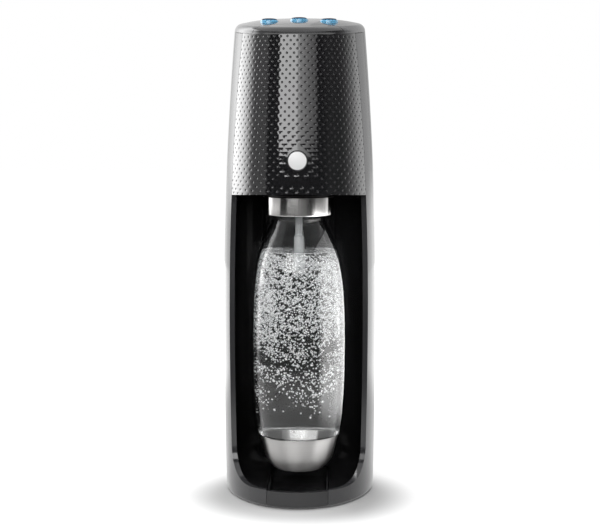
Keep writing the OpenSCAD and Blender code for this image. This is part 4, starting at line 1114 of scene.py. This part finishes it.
base = [(0.0, foot + 4 * mm), (tuck - 16 * mm, foot + 2.5 * mm), (tuck - 12 * mm, foot),
        (tuck - 7.5 * mm, foot + mm)]
inner = [(r - wall, z) for r, z in reversed(lower)]
inner_base = [(tuck - 8.5 * mm, foot + 2.8 * mm), (tuck - 12 * mm, foot + 1.9 * mm),
              (tuck - 16 * mm, foot + 4.3 * mm), (0.0, foot + 5.8 * mm)]
profile = base + lower + lip + [(neck_r - wall, neck_low)] + inner[1:] + inner_base
glass = clear("glass", (0.985, 0.99, 0.99), 0.01, 1.4)
wet_glass = clear("wet_glass", (0.985, 0.99, 0.99), 0.01, 1.4, 1.0, 0.06)
bottle = lathe("bottle_shell", profile, axis, 160)
finish_piece(bottle, "bottle_set", glass, "bottle", angle=60)
bottle.data.materials.append(wet_glass)
for face in bottle.data.polygons:
    away = face.center - Vector((0, bottle_y, face.center.z))
    face.material_index = int(face.normal.dot(away) < 0)

cup_wall = 1 * mm
cup_foot = cup_z + 1.2 * mm
cup = [(0.0, cup_z)] + [tuple(p) for p in cup_side[:-1]]
cup += [(cup_r, cup_top - 0.4 * mm), (cup_r - 0.3 * mm, cup_top),
        (cup_r - cup_wall + 0.2 * mm, cup_top), (cup_r - cup_wall, cup_top - 0.3 * mm)]
cup += [(r - cup_wall, z + 0.4 * mm) for r, z in reversed(cup_side[1:-2])]
cup += [(cup_r - cup_foot_in * mm, cup_foot), (0.0, cup_foot)]
cup_steel = turned_steel("cup_steel", 0.38)
finish_piece(lathe("cup", cup, axis, 192), "bottle_set", cup_steel, "bottle_cup", angle=40)

water_top = 211 * mm
water_gap = 0.12 * mm
wall_r, wall_z = np.array(inner[::-1]).T
held = [(r - water_gap, z) for r, z in reversed(inner) if z < water_top - 1.5 * mm]
film_r = float(np.interp(water_top, wall_z, wall_r)) - water_gap
meniscus = [(film_r, water_top), (film_r - 0.5 * mm, water_top - 0.6 * mm),
            (film_r - 2 * mm, water_top - 1.2 * mm), (film_r - 5 * mm, water_top - 1.4 * mm),
            (0.0, water_top - 1.4 * mm)]
water = [(0.0, foot + 6 * mm), (tuck - 16 * mm, foot + 4.6 * mm), (tuck - 12 * mm, foot + 2.2 * mm),
         (tuck - 9 * mm, foot + 3 * mm)] + held + meniscus
water_clear = clear("water_clear", (0.99, 0.995, 0.995), 0.0, 1.24, 1.0, 0.08)
finish_piece(lathe("water", water, axis, 160), "bottle_set", water_clear, angle=60)

bubble_painted_glow, tree, bsdf = material("bubble_painted_glow")
shade = mottled(tree, 90, 2, (0.75, 0.76, 0.77, 1), (0.95, 0.96, 0.96, 1))["Colour"]
feed(bsdf, {
    "Base Color": shade,
    "Roughness": 0.08,
    "Metallic": 1.0,
    # Painted glow: the bubbles give off a little light of their own colour, standing for the light
    # scattered in them.
    "Emission Color": shade,
    "Emission Strength": 0.2,
})
lowest = 68 * mm
dense_from = 140 * mm
drift_count = 26
drift_r = 7 * mm


def bubbles(name, count):
    """Gas bubbles: a dense cloud below the water's surface that thins into drifts lower down."""
    chance = np.random.default_rng(7)
    ball = bmesh.new()
    bmesh.ops.create_icosphere(ball, subdivisions=1, radius=1.0)
    points = np.array([v.co[:] for v in ball.verts])
    sides = np.array([[v.index for v in f.verts] for f in ball.faces])
    ball.free()
    drifts = np.column_stack([
        chance.uniform(-0.03, 0.03, (drift_count, 2)),
        chance.uniform(0.075, 0.15, drift_count),
    ])
    places, sizes = [], []
    while len(places) < count:
        z = chance.uniform(lowest, water_top - 4 * mm)
        room = float(np.interp(z, wall_z, wall_r)) - 1.6 * mm
        r, a = room * sqrt(chance.uniform(0.25, 1)), chance.uniform(0, 2 * pi)
        spot = np.array([r * cos(a), r * sin(a), z])
        near = np.min(np.hypot(*(drifts[:, [0, 2]] - spot[[0, 2]]).T))
        thinned = (0.9 if near < drift_r else 0.08) * (z - 50 * mm) / (dense_from - 50 * mm)
        likely = 1.0 if z > dense_from else thinned
        size = chance.uniform(0.4, 0.9) * mm * (1 + 0.5 * (chance.uniform() < 0.12))
        if chance.uniform() < likely:
            places.append(spot)
            sizes.append(size)
    balls = points[None] * np.array(sizes)[:, None, None]
    cloud = np.array(places)[:, None, :] + balls + [0, bottle_y, 0]
    faces = (sides[None] + np.arange(count)[:, None, None] * len(points)).reshape(-1, 3)
    mesh = bpy.data.meshes.new(name)
    mesh.from_pydata(cloud.reshape(-1, 3).tolist(), [], faces.tolist())
    return placed(name, mesh)


finish_piece(bubbles("bubbles", 5400), "bottle_set", bubble_painted_glow, angle=180)

# ---- Drip tray ----
# The loose tray: a shallow gloss black moulding that slides in under the bay. Its front is the
# middle of the base's front, with the same rounded foot as the front frame and a gap each side.

tub_wall = 1.6 * mm
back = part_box("drip_tray")[1].y
tray_plastic = gloss_plastic("tray_plastic", (0.02, 0.02, 0.021), 0.1, 0.1)
tongue = shell("tray_front", frame_wall, rim_z, True)
half_tray = tray_w / 2
ahead_of_bay = block((-half_tray, -far, 0), (half_tray, -band_front, lip_z - 0.5 * mm))
carve(tongue, ahead_of_bay, "INTERSECT")
tub = form("tray_tub", frame_wall - mm, 4 * mm)
tub_w = half_tray - 0.2 * mm
under_bay = block((-tub_w, -far, 3 * mm), (tub_w, back, bay_floor - 0.4 * mm))
carve(tub, under_bay, "INTERSECT")
hollow = form("tray_hollow", frame_wall + mm, 3 * mm)
hollow_w = half_tray - tub_wall
inside = block((-hollow_w, -far, 5.6 * mm), (hollow_w, back - tub_wall, far))
carve(tub, carve(hollow, inside, "INTERSECT"))
finish_piece(joined("tray", [tongue, tub]), "tray", tray_plastic, "drip_tray")
